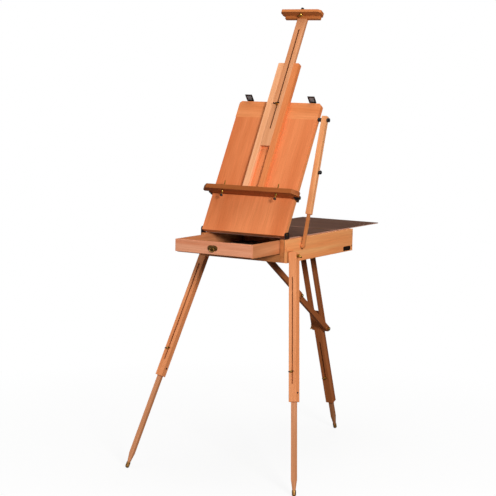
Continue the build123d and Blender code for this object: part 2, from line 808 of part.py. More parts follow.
with BuildPart() as tray:
    ledge_back = mast_back + carriage_thickness
    with BuildSketch(lid_cross(mast_bottom, ledge_back)):
        # Seen along the lid the local Y of this sketch points back to the lid.
        with BuildLine():
            Polyline(
                (-tray_half, 0),
                (tray_half, 0),
                (tray_half, tray_corner - tray_depth),
                (tray_half - tray_corner, -tray_depth),
                (tray_corner - tray_half, -tray_depth),
                (-tray_half, tray_corner - tray_depth),
                close=True,
            )
        make_face()
    extrude(amount=-tray_thickness)
    with BuildSketch(lid_cross(mast_bottom, mast_back + carriage_thickness / 2)):
        Rectangle(2 * carriage_half, carriage_thickness)
    extrude(amount=-carriage_height)
    with BuildSketch(lid_cross(mast_bottom, ledge_back + tray_screw_depth)):
        with Locations((tray_screw_x, 0), (-tray_screw_x, 0)):
            Circle(bolt_radius)
    extrude(amount=-tray_thickness, mode=Mode.SUBTRACT)
pieces["tray"] = tray

# Steel straps that hold the carriage to the lid's edges, each with a round knob.
with BuildPart() as tray_clamps:
    strap_mid = mast_bottom - carriage_height / 2
    strap_back = -lid_front - groove_clearance - strap
    for side in (1, -1):
        with BuildSketch(lid_cross(strap_mid - strap_height / 2)):
            with BuildLine():
                outer = carriage_half + strap
                # Local Y points back, so the lid's back face is on the positive side.
                Polyline(
                    (side * carriage_half, -(mast_back + carriage_thickness)),
                    (side * outer, -(mast_back + carriage_thickness)),
                    (side * outer, -strap_back),
                    (side * (outer - strap_hook - strap), -strap_back),
                    (side * (outer - strap_hook - strap), -strap_back - strap),
                    (side * carriage_half, -strap_back - strap),
                    close=True,
                )
            make_face()
        extrude(amount=strap_height)
        knob_seat = lid_plane.from_local_coords((side * outer, strap_mid, 0))
        with BuildSketch(across(knob_seat.Y, knob_seat.Z, knob_seat.X)):
            Circle(strap_knob_radius)
        extrude(amount=side * strap_knob_length)
pieces["tray_clamps"] = tray_clamps

with BuildPart() as tray_screws:
    screw_plane = lid_cross(mast_bottom, ledge_back + tray_screw_depth)
    with BuildSketch(screw_plane.offset(-tray_thickness - tray_screw_below)):
        with Locations((tray_screw_x, 0), (-tray_screw_x, 0)):
            Circle(bolt_radius)
    extrude(amount=tray_thickness + tray_screw_below + tray_screw_above)
    with BuildSketch(screw_plane.offset(-tray_thickness - tray_nut_length)):
        with Locations((tray_screw_x, 0), (-tray_screw_x, 0)):
            RegularPolygon(tray_nut_radius, 6)
    extrude(amount=tray_nut_length)
    with BuildSketch(screw_plane.offset(-tray_thickness - tray_screw_below)):
        with Locations((tray_screw_x, 0), (-tray_screw_x, 0)):
            Circle(tray_knob_radius)
    extrude(amount=tray_knob_length)
pieces["tray_screws"] = tray_screws

clamp_plane = Plane(
    origin=lid_plane.from_local_coords((0, mast_clamp_station, inner_front + slip)),
    x_dir=(1, 0, 0),
    z_dir=lid_plane.z_dir,
)
mast_clamp = wing_bolt(clamp_plane, inner_thickness + 2 * slip + mast_floor_thickness)
pieces["mast_clamp"] = mast_clamp

# ================================================================ inner mast
with BuildPart() as inner_mast:
    with BuildSketch(lid_plane.offset(inner_low)):
        inner_run = inner_top - inner_bottom
        with Locations((0, inner_bottom + inner_run / 2)):
            Rectangle(2 * (groove_half - groove_clearance), inner_run)
        slot_run = inner_slot_high - inner_slot_low
        with Locations((0, inner_slot_low + slot_run / 2)):
            SlotOverall(slot_run, slot_width, rotation=90, mode=Mode.SUBTRACT)
    extrude(amount=inner_thickness)
pieces["inner_mast"] = inner_mast

# Canvas head: a rail on the mast's end with an eight-sided ledge over it.
with BuildPart() as canvas_head:
    with BuildSketch(lid_cross(inner_top, (inner_low + inner_front) / 2)):
        Rectangle(2 * head_rail_half, inner_thickness)
    extrude(amount=head_rail_height)
    with BuildSketch(lid_cross(inner_top + head_rail_height, inner_low + head_depth / 2)):
        plate = Rectangle(2 * head_half, head_depth)
        chamfer(plate.vertices(), head_corner, head_corner_depth)
    extrude(amount=head_thickness)
    with BuildSketch(lid_cross(inner_top, inner_low + canvas_screw_offset)):
        Circle(bolt_radius + pin_fit)
    extrude(amount=head_rail_height + head_thickness, mode=Mode.SUBTRACT)
pieces["canvas_head"] = canvas_head

with BuildPart() as canvas_screw:
    head_under = inner_top + head_rail_height
    screw_axis = inner_low + canvas_screw_offset
    with BuildSketch(lid_cross(head_under - canvas_screw_low, screw_axis)):
        Circle(bolt_radius)
    extrude(amount=canvas_screw_low + head_thickness + canvas_screw_high)
    with BuildSketch(lid_cross(head_under - slip, screw_axis)):
        Circle(wing_boss_radius)
    extrude(amount=-wing_boss_length)
    with BuildSketch(lid_cross(head_under - wing_boss_length / 2, screw_axis)):
        SlotOverall(wing_span, wing_width)
    extrude(amount=wing_thickness, both=True)
    with BuildSketch(lid_cross(head_under + head_thickness + slip, screw_axis)):
        RegularPolygon(canvas_knob_radius, 6)
    extrude(amount=canvas_screw_high - slip)
pieces["canvas_screw"] = canvas_screw

# ===================================================================== strut
with BuildPart() as strut_bar:
    with BuildSketch(strut_plane.offset(strut_head)):
        with Locations((strut_mid, 0)):
            Rectangle(strut_width, strut_depth)
    extrude(amount=-(strut_head + strut_length))
    with BuildSketch(strut_plane.offset(-strut_length)):
        with Locations((strut_mid, 0)):
            Rectangle(rod_bore, rod_bore)
    extrude(amount=strut_length - strut_bore_top, mode=Mode.SUBTRACT)
    slot_mid = -(strut_slot_top + strut_slot_bottom) / 2
    with BuildSketch(turned(strut_plane, (strut_mid, 0, slot_mid), (0, 0, 1), (1, 0, 0))):
        SlotOverall(strut_slot_bottom - strut_slot_top, clamp_slot)
    extrude(amount=strut_width, mode=Mode.SUBTRACT)
    with BuildSketch(across(strut_top.Y, strut_top.Z, strut_x)):
        Circle(lid_pin_radius + pin_fit)
    extrude(amount=strut_width, mode=Mode.SUBTRACT)
pieces["strut_bar"] = strut_bar

# Rod with a boss that stands off the box side and the head of its screw outside.
with BuildPart() as strut_rod:
    with BuildSketch(strut_plane.offset(-rod_top)):
        with Locations((strut_mid, 0)):
            Rectangle(rod_side, rod_side)
    extrude(amount=-(strut_reach + rod_tail - rod_top))
    with BuildSketch(across(strut_foot.Y, strut_foot.Z, half_width + slip)):
        Circle(rod_boss_radius)
    extrude(amount=strut_mid - half_width - slip)
    with BuildSketch(across(strut_foot.Y, strut_foot.Z, strut_mid)):
        Circle(rod_screw_radius)
    extrude(amount=rod_side / 2 + rod_screw_rise)
    with BuildSketch(turned(strut_plane, (strut_mid, 0, -strut_knob_station), (0, 1, 0), (1, 0, 0))):
        Circle(bolt_radius + pin_fit)
    extrude(amount=rod_side, mode=Mode.SUBTRACT)
pieces["strut_rod"] = strut_rod

with BuildPart() as strut_knob:
    knob_plane = turned(
        strut_plane, (strut_x + strut_width + slip, 0, -strut_knob_station), (0, 1, 0), (1, 0, 0)
    )
    shank = strut_width / 2 + slip
    with BuildSketch(knob_plane.offset(-shank)):
        Circle(bolt_radius)
    extrude(amount=shank)
    with BuildSketch(knob_plane):
        Circle(wing_boss_radius)
    extrude(amount=strut_collar)
    with BuildSketch(knob_plane.offset(strut_collar)):
        Circle(strut_knob_radius)
    extrude(amount=strut_knob_length)
    fillet(strut_knob.edges().filter_by(GeomType.CIRCLE).sort_by(Axis.X)[-1], 2)
pieces["strut_knob"] = strut_knob


# ====================================================================== legs
def telescopic_foot(plane, centre_x, top, reach, bolt_station, bolt_dir):
    """Square runner with a tapered foot, and the round tip it stands on.

    plane: leg frame, local Z up the leg from its pivot.
    top, reach: distances down the leg to the runner's top and the tip's centre.
    """
    foot_end = reach - tip_length + tip_radius
    with BuildPart() as runner:
        with BuildSketch(plane.offset(-top)):
            with Locations((centre_x, 0)):
                Rectangle(runner_side, runner_side)
        extrude(amount=-(foot_end - taper_length - top))
        with BuildSketch(plane.offset(taper_length - foot_end)):
            with Locations((centre_x, 0)):
                RectangleRounded(runner_side, runner_side, 2)
        with BuildSketch(plane.offset(-foot_end)):
            with Locations((centre_x, 0)):
                RectangleRounded(2 * ferrule_radius, 2 * ferrule_radius, ferrule_radius - 1)
        loft()
        with BuildSketch(turned(plane, (centre_x, 0, -bolt_station), (1, 0, 0), bolt_dir)):
            Circle(bolt_radius + pin_fit)
        extrude(amount=runner_side, mode=Mode.SUBTRACT)
    with BuildPart() as tip:
        with BuildSketch(turned(plane, (centre_x, 0, -reach), (1, 0, 0), (0, 1, 0))):
            # The local Y of this sketch runs down the leg.
            with BuildLine():
                Polyline(
                    (0, 0),
                    (0, tip_radius - tip_length),
                    (tip_radius - 1, tip_radius - tip_length),
                    (tip_radius, tip_radius - tip_length + 1),
                    (tip_radius, 0),
                )
                CenterArc((0, 0), tip_radius, 0, 90)
                Line((0, tip_radius), (0, 0))
            make_face()
        revolve(axis=Axis(plane.from_local_coords((centre_x, 0, -reach)), plane.z_dir))
    return runner, tip


leg_mid = leg_side / 2


def front_leg(plane):
    """Upper leg, runner, tip and clamp bolt of a front leg on the +X side."""
    with BuildPart() as upper:
        with BuildSketch(plane.offset(leg_head)):
            with Locations((leg_mid, 0)):
                Rectangle(leg_side, leg_side)
        extrude(amount=-(leg_head + leg_upper))
        chamfer(upper.faces().sort_by(Axis(plane.origin, plane.z_dir))[-1].edges(), 2)
        with BuildSketch(plane.offset(-leg_upper)):
            with Locations((leg_mid, 0)):
                Rectangle(bore_side, bore_side)
        extrude(amount=leg_upper - leg_bore_top, mode=Mode.SUBTRACT)
        slot_mid = -(leg_slot_top + leg_slot_bottom) / 2
        with BuildSketch(turned(plane, (leg_mid, 0, slot_mid), (0, 0, 1), (0, -1, 0))):
            SlotOverall(leg_slot_bottom - leg_slot_top, clamp_slot)
        extrude(amount=leg_side, mode=Mode.SUBTRACT)
        with BuildSketch(turned(plane, (0, 0, 0), (0, 1, 0), (1, 0, 0))):
            Circle(leg_pin_radius + pin_fit)
        extrude(amount=leg_side, mode=Mode.SUBTRACT)
    # The runner's middle stands on the floor, so its reach follows from its own height.
    runner_height = plane.from_local_coords((leg_mid, 0, 0)).Z - tip_radius
    runner, tip = telescopic_foot(
        plane,
        leg_mid,
        leg_clamp_station - runner_overlap,
        runner_height / plane.z_dir.Z,
        leg_clamp_station,
        (0, -1, 0),
    )
    clamp = wing_bolt(
        turned(
            plane, (leg_mid, -leg_side / 2 - slip, -leg_clamp_station), (0, 0, 1), (0, -1, 0)
        ),
        leg_side / 2 + slip,
    )
    return {"upper": upper, "lower": runner, "tip": tip, "clamp": clamp}


for name, piece in front_leg(leg_planes[0]).items():
    pieces[f"leg_{name}_right"] = piece
for name, piece in front_leg(leg_planes[1]).items():
    with BuildPart() as mirrored:
        mirror(piece.part, about=Plane.YZ)
    pieces[f"leg_{name}_left"] = mirrored

# ================================================================== rear leg
with BuildPart() as rear_fork:
    for side in (1, -1):
        slat_x = side * slat_inner if side > 0 else -slat_outer
        slat_run = knee_station
        with BuildSketch(turned(rear_plane, (slat_x, 0, -slat_run / 2), (0, 0, 1), (1, 0, 0))):
            SlotOverall(slat_run + slat_depth, slat_depth)
        extrude(amount=slat_thickness)
    with BuildSketch(across(fork_pivot.Y, fork_pivot.Z, -slat_outer)):
        Circle(leg_pin_radius + pin_fit)
    extrude(amount=2 * slat_outer, mode=Mode.SUBTRACT)
    with BuildSketch(across(knee.Y, knee.Z, -slat_outer)):
        Circle(knee_pin_radius)
    extrude(amount=2 * slat_outer, mode=Mode.SUBTRACT)
pieces["rear_fork"] = rear_fork

# Knee bolt with its wing nut on the -X side.
with BuildPart() as knee_bolt:
    with BuildSketch(across(knee.Y, knee.Z, -slat_outer - slip)):
        Circle(knee_pin_radius)
    extrude(amount=2 * slat_outer + slip)
    with BuildSketch(across(knee.Y, knee.Z, -slat_outer)):
        Circle(wing_boss_radius)
    extrude(amount=-wing_boss_length)
    with BuildSketch(across(knee.Y, knee.Z, -slat_outer - wing_boss_length)):
        SlotOverall(wing_span, wing_width)
    extrude(amount=wing_thickness)
pieces["knee_bolt"] = knee_bolt

with BuildPart() as rear_leg:
    leg_start = rear_leg_head - knee_station
    with BuildSketch(rear_plane.offset(leg_start)):
        Rectangle(rear_leg_width, rear_leg_depth)
    extrude(amount=-(rear_leg_end + leg_start))
    with BuildSketch(rear_plane.offset(-rear_leg_end)):
        Rectangle(bore_side, bore_side)
    extrude(amount=rear_leg_end - knee_station - rear_bore_margin, mode=Mode.SUBTRACT)
    rear_slot_mid = -(rear_slot_top + rear_slot_bottom) / 2
    with BuildSketch(turned(rear_plane, (0, 0, rear_slot_mid), (0, 0, 1), (0, -1, 0))):
        SlotOverall(rear_slot_bottom - rear_slot_top, clamp_slot)
    extrude(amount=rear_leg_depth, mode=Mode.SUBTRACT)
    with BuildSketch(across(knee.Y, knee.Z, -rear_leg_width / 2)):
        Circle(knee_pin_radius + pin_fit)
    extrude(amount=rear_leg_width, mode=Mode.SUBTRACT)
pieces["rear_leg"] = rear_leg

rear_lower, rear_tip = telescopic_foot(
    rear_plane, 0, rear_runner_top, rear_reach, rear_clamp_station, (0, -1, 0)
)
pieces["rear_lower"] = rear_lower
pieces["rear_tip"] = rear_tip
rear_clamp = wing_bolt(
    turned(rear_plane, (0, -rear_leg_depth / 2 - slip, -rear_clamp_station), (0, 0, 1), (0, -1, 0)),
    rear_leg_depth / 2 + slip,
)
pieces["rear_clamp"] = rear_clamp

# ===================================================================== brace
with BuildPart() as brace_front:
    with BuildSketch(
        turned(brace_plane, (brace_front_x, 0, -brace_front_length / 2), (0, 0, 1), (1, 0, 0))
    ):
        SlotOverall(brace_front_length + brace_depth, brace_depth)
    extrude(amount=brace_thickness)
    for station in (0, brace_front_length):
        with BuildSketch(turned(brace_plane, (brace_front_x, 0, -station), (0, 1, 0), (1, 0, 0))):
            Circle(knee_pin_radius + pin_fit)
        extrude(amount=brace_thickness, mode=Mode.SUBTRACT)
pieces["brace_front"] = brace_front

brace_rear_length = brace_length - brace_front_length
with BuildPart() as brace_rear:
    rear_mid = -(brace_front_length + brace_length) / 2
    with BuildSketch(turned(brace_plane, (brace_rear_x, 0, rear_mid), (0, 0, 1), (1, 0, 0))):
        SlotOverall(brace_rear_length + brace_depth, brace_depth)
    extrude(amount=brace_thickness)
    with BuildSketch(
        turned(brace_plane, (brace_rear_x, 0, -brace_front_length), (0, 1, 0), (1, 0, 0))
    ):
        Circle(knee_pin_radius)
    extrude(amount=brace_thickness, mode=Mode.SUBTRACT)
pieces["brace_rear"] = brace_rear

# Bolt of the brace joint, and the round nut outside the brace at the knee.
with BuildPart() as brace_bolts:
    joint_plane = turned(brace_plane, (brace_rear_x, 0, -brace_front_length), (0, 1, 0), (1, 0, 0))
    with BuildSketch(joint_plane):
        Circle(knee_pin_radius)
    extrude(amount=2 * brace_thickness + 2 * slip)
    with BuildSketch(joint_plane.offset(2 * brace_thickness + 2 * slip)):
        Circle(wing_collar_radius)
    extrude(amount=brace_knob_length)
    with BuildSketch(joint_plane):
        Circle(wing_boss_radius)
    extrude(amount=-brace_bolt_head)
    with BuildSketch(across(knee.Y, knee.Z, brace_rear_x + brace_thickness)):
        Circle(strut_knob_radius)
    extrude(amount=brace_knob_length)
pieces["brace_bolts"] = brace_bolts

# ==================================================================== export
# The finished model stands on the floor with its origin below the middle of its extent.
boxes = [piece.part.bounding_box() for piece in pieces.values()]
extent_front = min(box.min.Y for box in boxes)
extent_rear = max(box.max.Y for box in boxes)
frame_shift = -(extent_front + extent_rear) / 2

os.makedirs("parts", exist_ok=True)
for name, piece in pieces.items():
    placed = Pos(0, frame_shift, 0) * piece.part
    placed.label = name
    export_step(placed, f"parts/{name}.step")
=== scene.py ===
import json
import logging
import math
from dataclasses import dataclass, field
from enum import Enum
from typing import Dict, Iterable, List, Optional, Sequence, Tuple, Union

import bpy
import numpy as np
from mathutils import Matrix, Vector

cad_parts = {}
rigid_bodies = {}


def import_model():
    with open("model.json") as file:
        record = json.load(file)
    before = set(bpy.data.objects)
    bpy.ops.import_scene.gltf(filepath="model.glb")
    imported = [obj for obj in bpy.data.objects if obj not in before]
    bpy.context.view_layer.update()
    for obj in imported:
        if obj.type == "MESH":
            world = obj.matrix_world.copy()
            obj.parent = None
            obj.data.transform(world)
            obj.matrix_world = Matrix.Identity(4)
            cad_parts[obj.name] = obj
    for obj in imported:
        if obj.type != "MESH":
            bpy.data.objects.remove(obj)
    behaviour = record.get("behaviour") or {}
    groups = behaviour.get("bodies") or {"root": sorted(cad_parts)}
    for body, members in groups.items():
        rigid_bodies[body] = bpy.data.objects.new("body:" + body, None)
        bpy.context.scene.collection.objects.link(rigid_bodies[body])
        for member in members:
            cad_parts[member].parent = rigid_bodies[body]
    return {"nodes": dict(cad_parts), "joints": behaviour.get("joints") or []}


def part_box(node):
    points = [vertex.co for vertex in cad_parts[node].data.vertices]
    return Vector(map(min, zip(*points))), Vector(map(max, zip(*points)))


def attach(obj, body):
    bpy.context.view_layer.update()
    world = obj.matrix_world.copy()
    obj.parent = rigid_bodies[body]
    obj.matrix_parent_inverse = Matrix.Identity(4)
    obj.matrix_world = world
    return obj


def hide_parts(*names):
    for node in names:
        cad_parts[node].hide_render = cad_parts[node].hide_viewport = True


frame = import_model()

log = logging.getLogger("easel")

# Lengths are in metres and positions in the row frame throughout.
MM = 0.001
SEAT_GAP = 0.25 * MM  # between a turning knob or nut and the wood it presses on
BOLT = 2.4 * MM  # radius of the bolts of the clamps and knobs
WELD_REACH = 0.00001  # corners closer than this are one corner
EDGE_ANGLE = 40  # corners of the CAD's pieces sharper than this are broken, in degrees
CREASE_ANGLE = 35  # corners of the built pieces sharper than this stay crisp, in degrees
RIGHT = Vector((1.0, 0.0, 0.0))  # across the easel, towards its right side
BOARD_SHIFT = (0.37, 0.23, 0.11)  # how far one board's pattern lies from the next
BAND_LENGTH = 0.7  # length of a pale or dark band along the grain
FINE_GRAIN = (0.08, 0.0022)  # length and width of a line of fine grain
RAY_FLECK = (0.0035, 0.0007)  # length and width of a ray fleck
Vec = Union[Vector, Sequence[float]]
Profile = Sequence[Tuple[float, float]]  # radius and height of each ring, from the foot up
Coats = Dict[str, Tuple["Finish", float]]  # CAD node: its finish, width of its broken edges
Socket, Node = bpy.types.NodeSocket, bpy.types.Node


class Along(Enum):
    """Which way the grain of a wooden piece runs."""

    WIDTH = "width"
    DEPTH = "depth"
    HEIGHT = "height"
    LID = "lid"
    LEG_RIGHT = "leg_right"
    LEG_LEFT = "leg_left"
    REAR_LEG = "rear_leg"
    STRUT = "strut"
    BRACE = "brace"


# ---- the frame
JOINTS = {joint["name"]: joint for joint in frame["joints"]}


def direction(name: str) -> Vector:
    """Unit axis of a joint.

    Args:
        name: the joint's name in the record.

    Returns:
        The axis as a unit vector of the row frame.
    """
    return Vector(JOINTS[name]["axis"]).normalized()


def place(name: str) -> Vector:
    """Position of a hinge.

    Args:
        name: the hinge's name in the record.

    Returns:
        A point on its axis.
    """
    return Vector(JOINTS[name]["pos_m"])


def centre(node: str) -> Vector:
    """Middle of a CAD node's box.

    Args:
        node: the node's name.

    Returns:
        The middle point.
    """
    low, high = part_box(node)
    return (low + high) / 2


def grain_axis(along: Along) -> Vector:
    """Direction of the grain of a wooden piece.

    Args:
        along: the named direction.

    Returns:
        A unit vector of the row frame.
    """
    fixed = {Along.WIDTH: (1, 0, 0), Along.DEPTH: (0, 1, 0), Along.HEIGHT: (0, 0, 1)}
    if along in fixed:
        return Vector(fixed[along])
    if along is Along.BRACE:
        return (place("brace_fold") - place("rear_knee")).normalized()
    return direction("mast_slide" if along is Along.LID else f"{along.value}_slide")


# ---- materials
def linear(code: str) -> Tuple[float, float, float, float]:
    """Turns an sRGB colour into the linear value that a shader takes.

    Args:
        code: the colour as six hexadecimal digits after a #.

    Returns:
        Linear red, green and blue, and an alpha of 1.
    """
    srgb = np.array([int(code[i : i + 2], 16) for i in (1, 3, 5)]) / 255
    value = np.where(srgb <= 0.04045, srgb / 12.92, ((srgb + 0.055) / 1.055) ** 2.4)
    return (*value.tolist(), 1.0)


@dataclass(frozen=True)
class Graph:
    """The shader nodes of one material or of the world.

    Attributes:
        tree: the tree that holds them.
    """

    tree: bpy.types.NodeTree

    def feed(self, node: Node, inputs: Dict) -> None:
        """Sets or links inputs of a node.

        Args:
            node: the node.
            inputs: socket name or number to a constant, or to the output it is linked from.
        """
        for key, value in inputs.items():
            if isinstance(value, Socket):
                self.tree.links.new(value, node.inputs[key])
            else:
                node.inputs[key].default_value = value

    def node(self, kind: str, inputs: Optional[Dict] = None, **settings) -> Node:
        """Adds one node with its settings and links.

        Args:
            kind: the node's type name after ShaderNode.
            inputs: what its inputs are fed.
            **settings: properties set on the node itself.

        Returns:
            The new node.
        """
        made = self.tree.nodes.new(f"ShaderNode{kind}")
        for name, value in settings.items():
            setattr(made, name, value)
        self.feed(made, inputs or {})
        return made

    def ramp(self, factor: Socket, stops: Sequence[Tuple[float, str]]) -> Socket:
        """Adds a colour ramp.

        Args:
            factor: the output that drives it.
            stops: position and sRGB colour of each of its two stops, in order.

        Returns:
            The ramp's colour output.
        """
        made = self.node("ValToRGB", {"Fac": factor})
        for element, (position, code) in zip(made.color_ramp.elements, stops):
            element.position = position
            element.color = linear(code)
        return made.outputs["Color"]

    def mixed(
        self, a: Socket, b: Socket, factor: Union[float, Socket], blend: str = "MIX"
    ) -> Socket:
        """Adds a mix of two colours.

        Args:
            a: the colour underneath.
            b: the colour over it.
            factor: weight of b, or the output that gives it.
            blend: how b is laid over a.

        Returns:
            The mixed colour.
        """
        inputs = {0: factor, 6: a, 7: b}
        return self.node("Mix", inputs, data_type="RGBA", blend_type=blend).outputs[2]

    def noise(self, where: Socket, scale: float, detail: float, warp: float = 0.0) -> Socket:
        """Adds a noise pattern.

        Args:
            where: the output that gives its coordinates.
            scale: features in a unit of the coordinates.
            detail: how many finer layers it has.
            warp: how far it is distorted.

        Returns:
            The pattern's value.
        """
        inputs = {"Vector": where, "Scale": scale, "Detail": detail, "Distortion": warp}
        return self.node("TexNoise", inputs).outputs["Fac"]


@dataclass(frozen=True)
class Finish:
    """A surface as the real piece has it.

    Attributes:
        name: what the real surface is.
    """

    name: str

    def shade(self, graph: Graph, shader: Node) -> None:
        """Adds the nodes that colour and roughen the surface.

        Args:
            graph: the material's nodes.
            shader: its Principled BSDF.
        """
        raise NotImplementedError

    def key(self) -> str:
        """Name of the material, the same for the same surface.

        Returns:
            The name.
        """
        return self.name

    def material(self) -> bpy.types.Material:
        """Makes the material once and returns it again after that.

        Returns:
            The material.
        """
        known = bpy.data.materials.get(self.key())
        if known is not None:
            return known
        made = bpy.data.materials.new(self.key())
        made.use_nodes = True
        self.shade(Graph(made.node_tree), made.node_tree.nodes["Principled BSDF"])
        return made


@dataclass(frozen=True)
class Wood(Finish):
    """Planed beech: long pale and dark bands, short ray flecks, a satin skin.

    Attributes:
        light: sRGB colour of the pale bands.
        dark: sRGB colour of the dark bands.
        along: which way the grain runs.
        board: number of the board, which shifts the pattern.
        band: width of a band across the grain.
        roughness: middle roughness.
        coat: weight of the varnish coat.
        pair: light and dark sRGB colours of the +X timber where the piece is a pair.
        slot: width of the slots and corners that get painted shade.
        bare: sRGB colour of the edges where only the faces that look up or down are varnished.
    """

    light: str
    dark: str
    along: Along
    board: int
    band: float = 0.03
    roughness: float = 0.42
    coat: float = 0.02
    pair: Optional[Tuple[str, str]] = None
    slot: float = 12.0 * MM
    bare: Optional[str] = None

    def key(self) -> str:
        """Name of the material, one for each board and grain direction."""
        return f"{self.name}_{self.along.value}_{self.board}"

    def shade(self, graph: Graph, shader: Node) -> None:
        """Adds bands, grain and flecks drawn out along the grain, and painted shade in the slots."""
        where = graph.node("TexCoord").outputs["Object"]
        shift = tuple(step * self.board for step in BOARD_SHIFT)
        turn = grain_axis(self.along).rotation_difference(RIGHT).to_euler()
        placing = {"Vector": where, "Location": shift, "Rotation": turn}
        turned = graph.node("Mapping", placing).outputs["Vector"]

        def stretched(length: float, width: float, detail: float, warp: float = 0.0) -> Socket:
            """Adds noise whose features have a length along the grain and a width across it."""
            scale = {0: turned, 1: (1 / length, 1 / width, 1 / width)}
            drawn = graph.node("VectorMath", scale, operation="MULTIPLY")
            return graph.noise(drawn.outputs[0], 1.0, detail, warp)

        bands = stretched(BAND_LENGTH, self.band, 3.0, 0.4)
        fine = stretched(*FINE_GRAIN, 2.0)
        flecks = stretched(*RAY_FLECK, 1.0)
        colour = graph.ramp(bands, ((0.32, self.dark), (0.68, self.light)))
        if self.pair:
            light, dark = self.pair
            other = graph.ramp(bands, ((0.32, dark), (0.68, light)))
            across = graph.node("SeparateXYZ", {"Vector": where}).outputs["X"]
            right = graph.node("Math", {0: across, 1: 0.0}, operation="GREATER_THAN")
            colour = graph.mixed(colour, other, right.outputs["Value"])
        # Painted shade: ambient occlusion darkens the slots, corners and recesses of each piece towards
        # #5A3424, for the shade that falls there.
        cavity_shade = graph.node("AmbientOcclusion", {"Distance": self.slot}, only_local=True, samples=8)
        for pattern, weight, tone, low, high in (
            (fine, 0.8, "#E9E4DE", 0.3, 0.7),
            (flecks, 0.55, "#C9A088", 0.27, 0.36),
            (cavity_shade.outputs["AO"], 0.85, "#5A3424", 0.2, 0.72),
        ):
            tint = graph.ramp(pattern, ((low, tone), (high, "#FFFFFF")))
            colour = graph.mixed(colour, tint, weight, "MULTIPLY")
        if self.bare:
            normal = graph.node("TexCoord").outputs["Normal"]
            upward = graph.node("SeparateXYZ", {"Vector": normal}).outputs["Z"]
            flat = graph.node("Math", {0: upward}, operation="ABSOLUTE").outputs["Value"]
            edge = graph.node("Math", {0: flat, 1: 0.7}, operation="LESS_THAN")
            colour = graph.mixed(colour, linear(self.bare), edge.outputs["Value"])
        rough = {"Value": fine, "To Min": self.roughness - 0.06, "To Max": self.roughness + 0.1}
        bump = {"Height": fine, "Strength": 0.12, "Distance": 0.0004}
        graph.feed(
            shader,
            {
                "Base Color": colour,
                "Roughness": graph.node("MapRange", rough).outputs["Result"],
                "Normal": graph.node("Bump", bump).outputs["Normal"],
                "Specular IOR Level": 0.14,
                "Coat Weight": self.coat,
                "Coat Roughness": 0.3,
            },
        )


@dataclass(frozen=True)
class Metal(Finish):
    """Bare or lacquered metal with a faintly uneven skin.

    Attributes:
        tone: sRGB colour.
        dull: sRGB colour of the rubbed or tarnished places.
        metallic: 1 for bare metal, less under lacquer.
        roughness: middle roughness.
    """

    tone: str = "#C9A04C"
    dull: str = "#8A6A32"
    metallic: float = 1.0
    roughness: float = 0.3

    def shade(self, graph: Graph, shader: Node) -> None:
        """Adds soft blotches to the colour and the roughness, and a fine grit."""
        where = graph.node("TexCoord").outputs["Object"]
        blotch, grit = graph.noise(where, 110.0, 4.0), graph.noise(where, 900.0, 2.0)
        colour = graph.ramp(blotch, ((0.35, self.dull), (0.6, self.tone)))
        rough = {"Value": blotch, "To Min": self.roughness + 0.15, "To Max": self.roughness - 0.08}
        bump = {"Height": grit, "Strength": 0.08, "Distance": 0.0002}
        skin = {
            "Base Color": colour,
            "Roughness": graph.node("MapRange", rough).outputs["Result"],
            "Normal": graph.node("Bump", bump).outputs["Normal"],
            "Metallic": self.metallic,
        }
        graph.feed(shader, skin)


@dataclass(frozen=True)
class White(Finish):
    """Matt white studio paper: shaded by the easel near it, plain white further off.

    Attributes:
        glow: share of plain white that the camera sees over the lit paper below the easel.
        near: distance at which the share starts to grow.
        far: distance from which on the camera sees plain white alone.
        bounce: sRGB colour of the light that the paper throws back on the easel.
    """

    glow: float = 0.88
    near: float = 0.5
    far: float = 2.0
    bounce: str = "#6A6662"

    def shade(self, graph: Graph, shader: Node) -> None:
        """Mixes plain white over the lit paper for the camera, and greys it for the rest."""
        paper = {"Base Color": linear("#F8F7F5"), "Roughness": 0.9, "Specular IOR Level": 0.1}
        graph.feed(shader, paper)
        where = graph.node("TexCoord").outputs["Object"]
        away = graph.node("VectorMath", {0: where}, operation="LENGTH")
        fade = {
            "Value": away.outputs["Value"],
            "From Min": self.near,
            "From Max": self.far,
            "To Min": self.glow,
            "To Max": 1.0,
        }
        share = graph.node("MapRange", fade).outputs["Result"]
        plain = graph.node("Emission", {"Color": linear("#FFFFFF")})
        thrown = graph.node("BsdfDiffuse", {"Color": linear(self.bounce)})
        ray = graph.node("LightPath").outputs["Is Camera Ray"]
        sides = {0: share, 1: shader.outputs["BSDF"], 2: plain.outputs["Emission"]}
        seen = graph.node("MixShader", sides).outputs["Shader"]
        sides = {0: ray, 1: thrown.outputs["BSDF"], 2: seen}
        whole = graph.node("MixShader", sides).outputs["Shader"]
        graph.feed(graph.tree.nodes["Material Output"], {"Surface": whole})


# Brass of wing nuts, screws, hinges and the lock: lacquered, a little dulled.
BRASS = Metal("lacquered_brass")
# Backplate of the lock: brass that has gone brown.
AGED = Metal("aged_brass_plate", "#6B4A1E", "#3E2A12", 0.8, 0.4)
# Steel fittings with black stove enamel: hinge plates, latches, straps, knobs.
BLACK = Metal("black_enamelled_steel", "#1E1D1F", "#121113", 0.1, 0.36)
# Ferrules of the leg tips: brass darkened by the floor.
TIP = Metal("tarnished_brass_tip", "#B58446", "#7C5528", 0.7, 0.42)
# The sheet that lines the drawer.
ZINC = Metal("dull_zinc_liner", "#9A9C9E", "#808386", 0.5, 0.5)
# Floor and backdrop.
PAPER = White("white_paper")


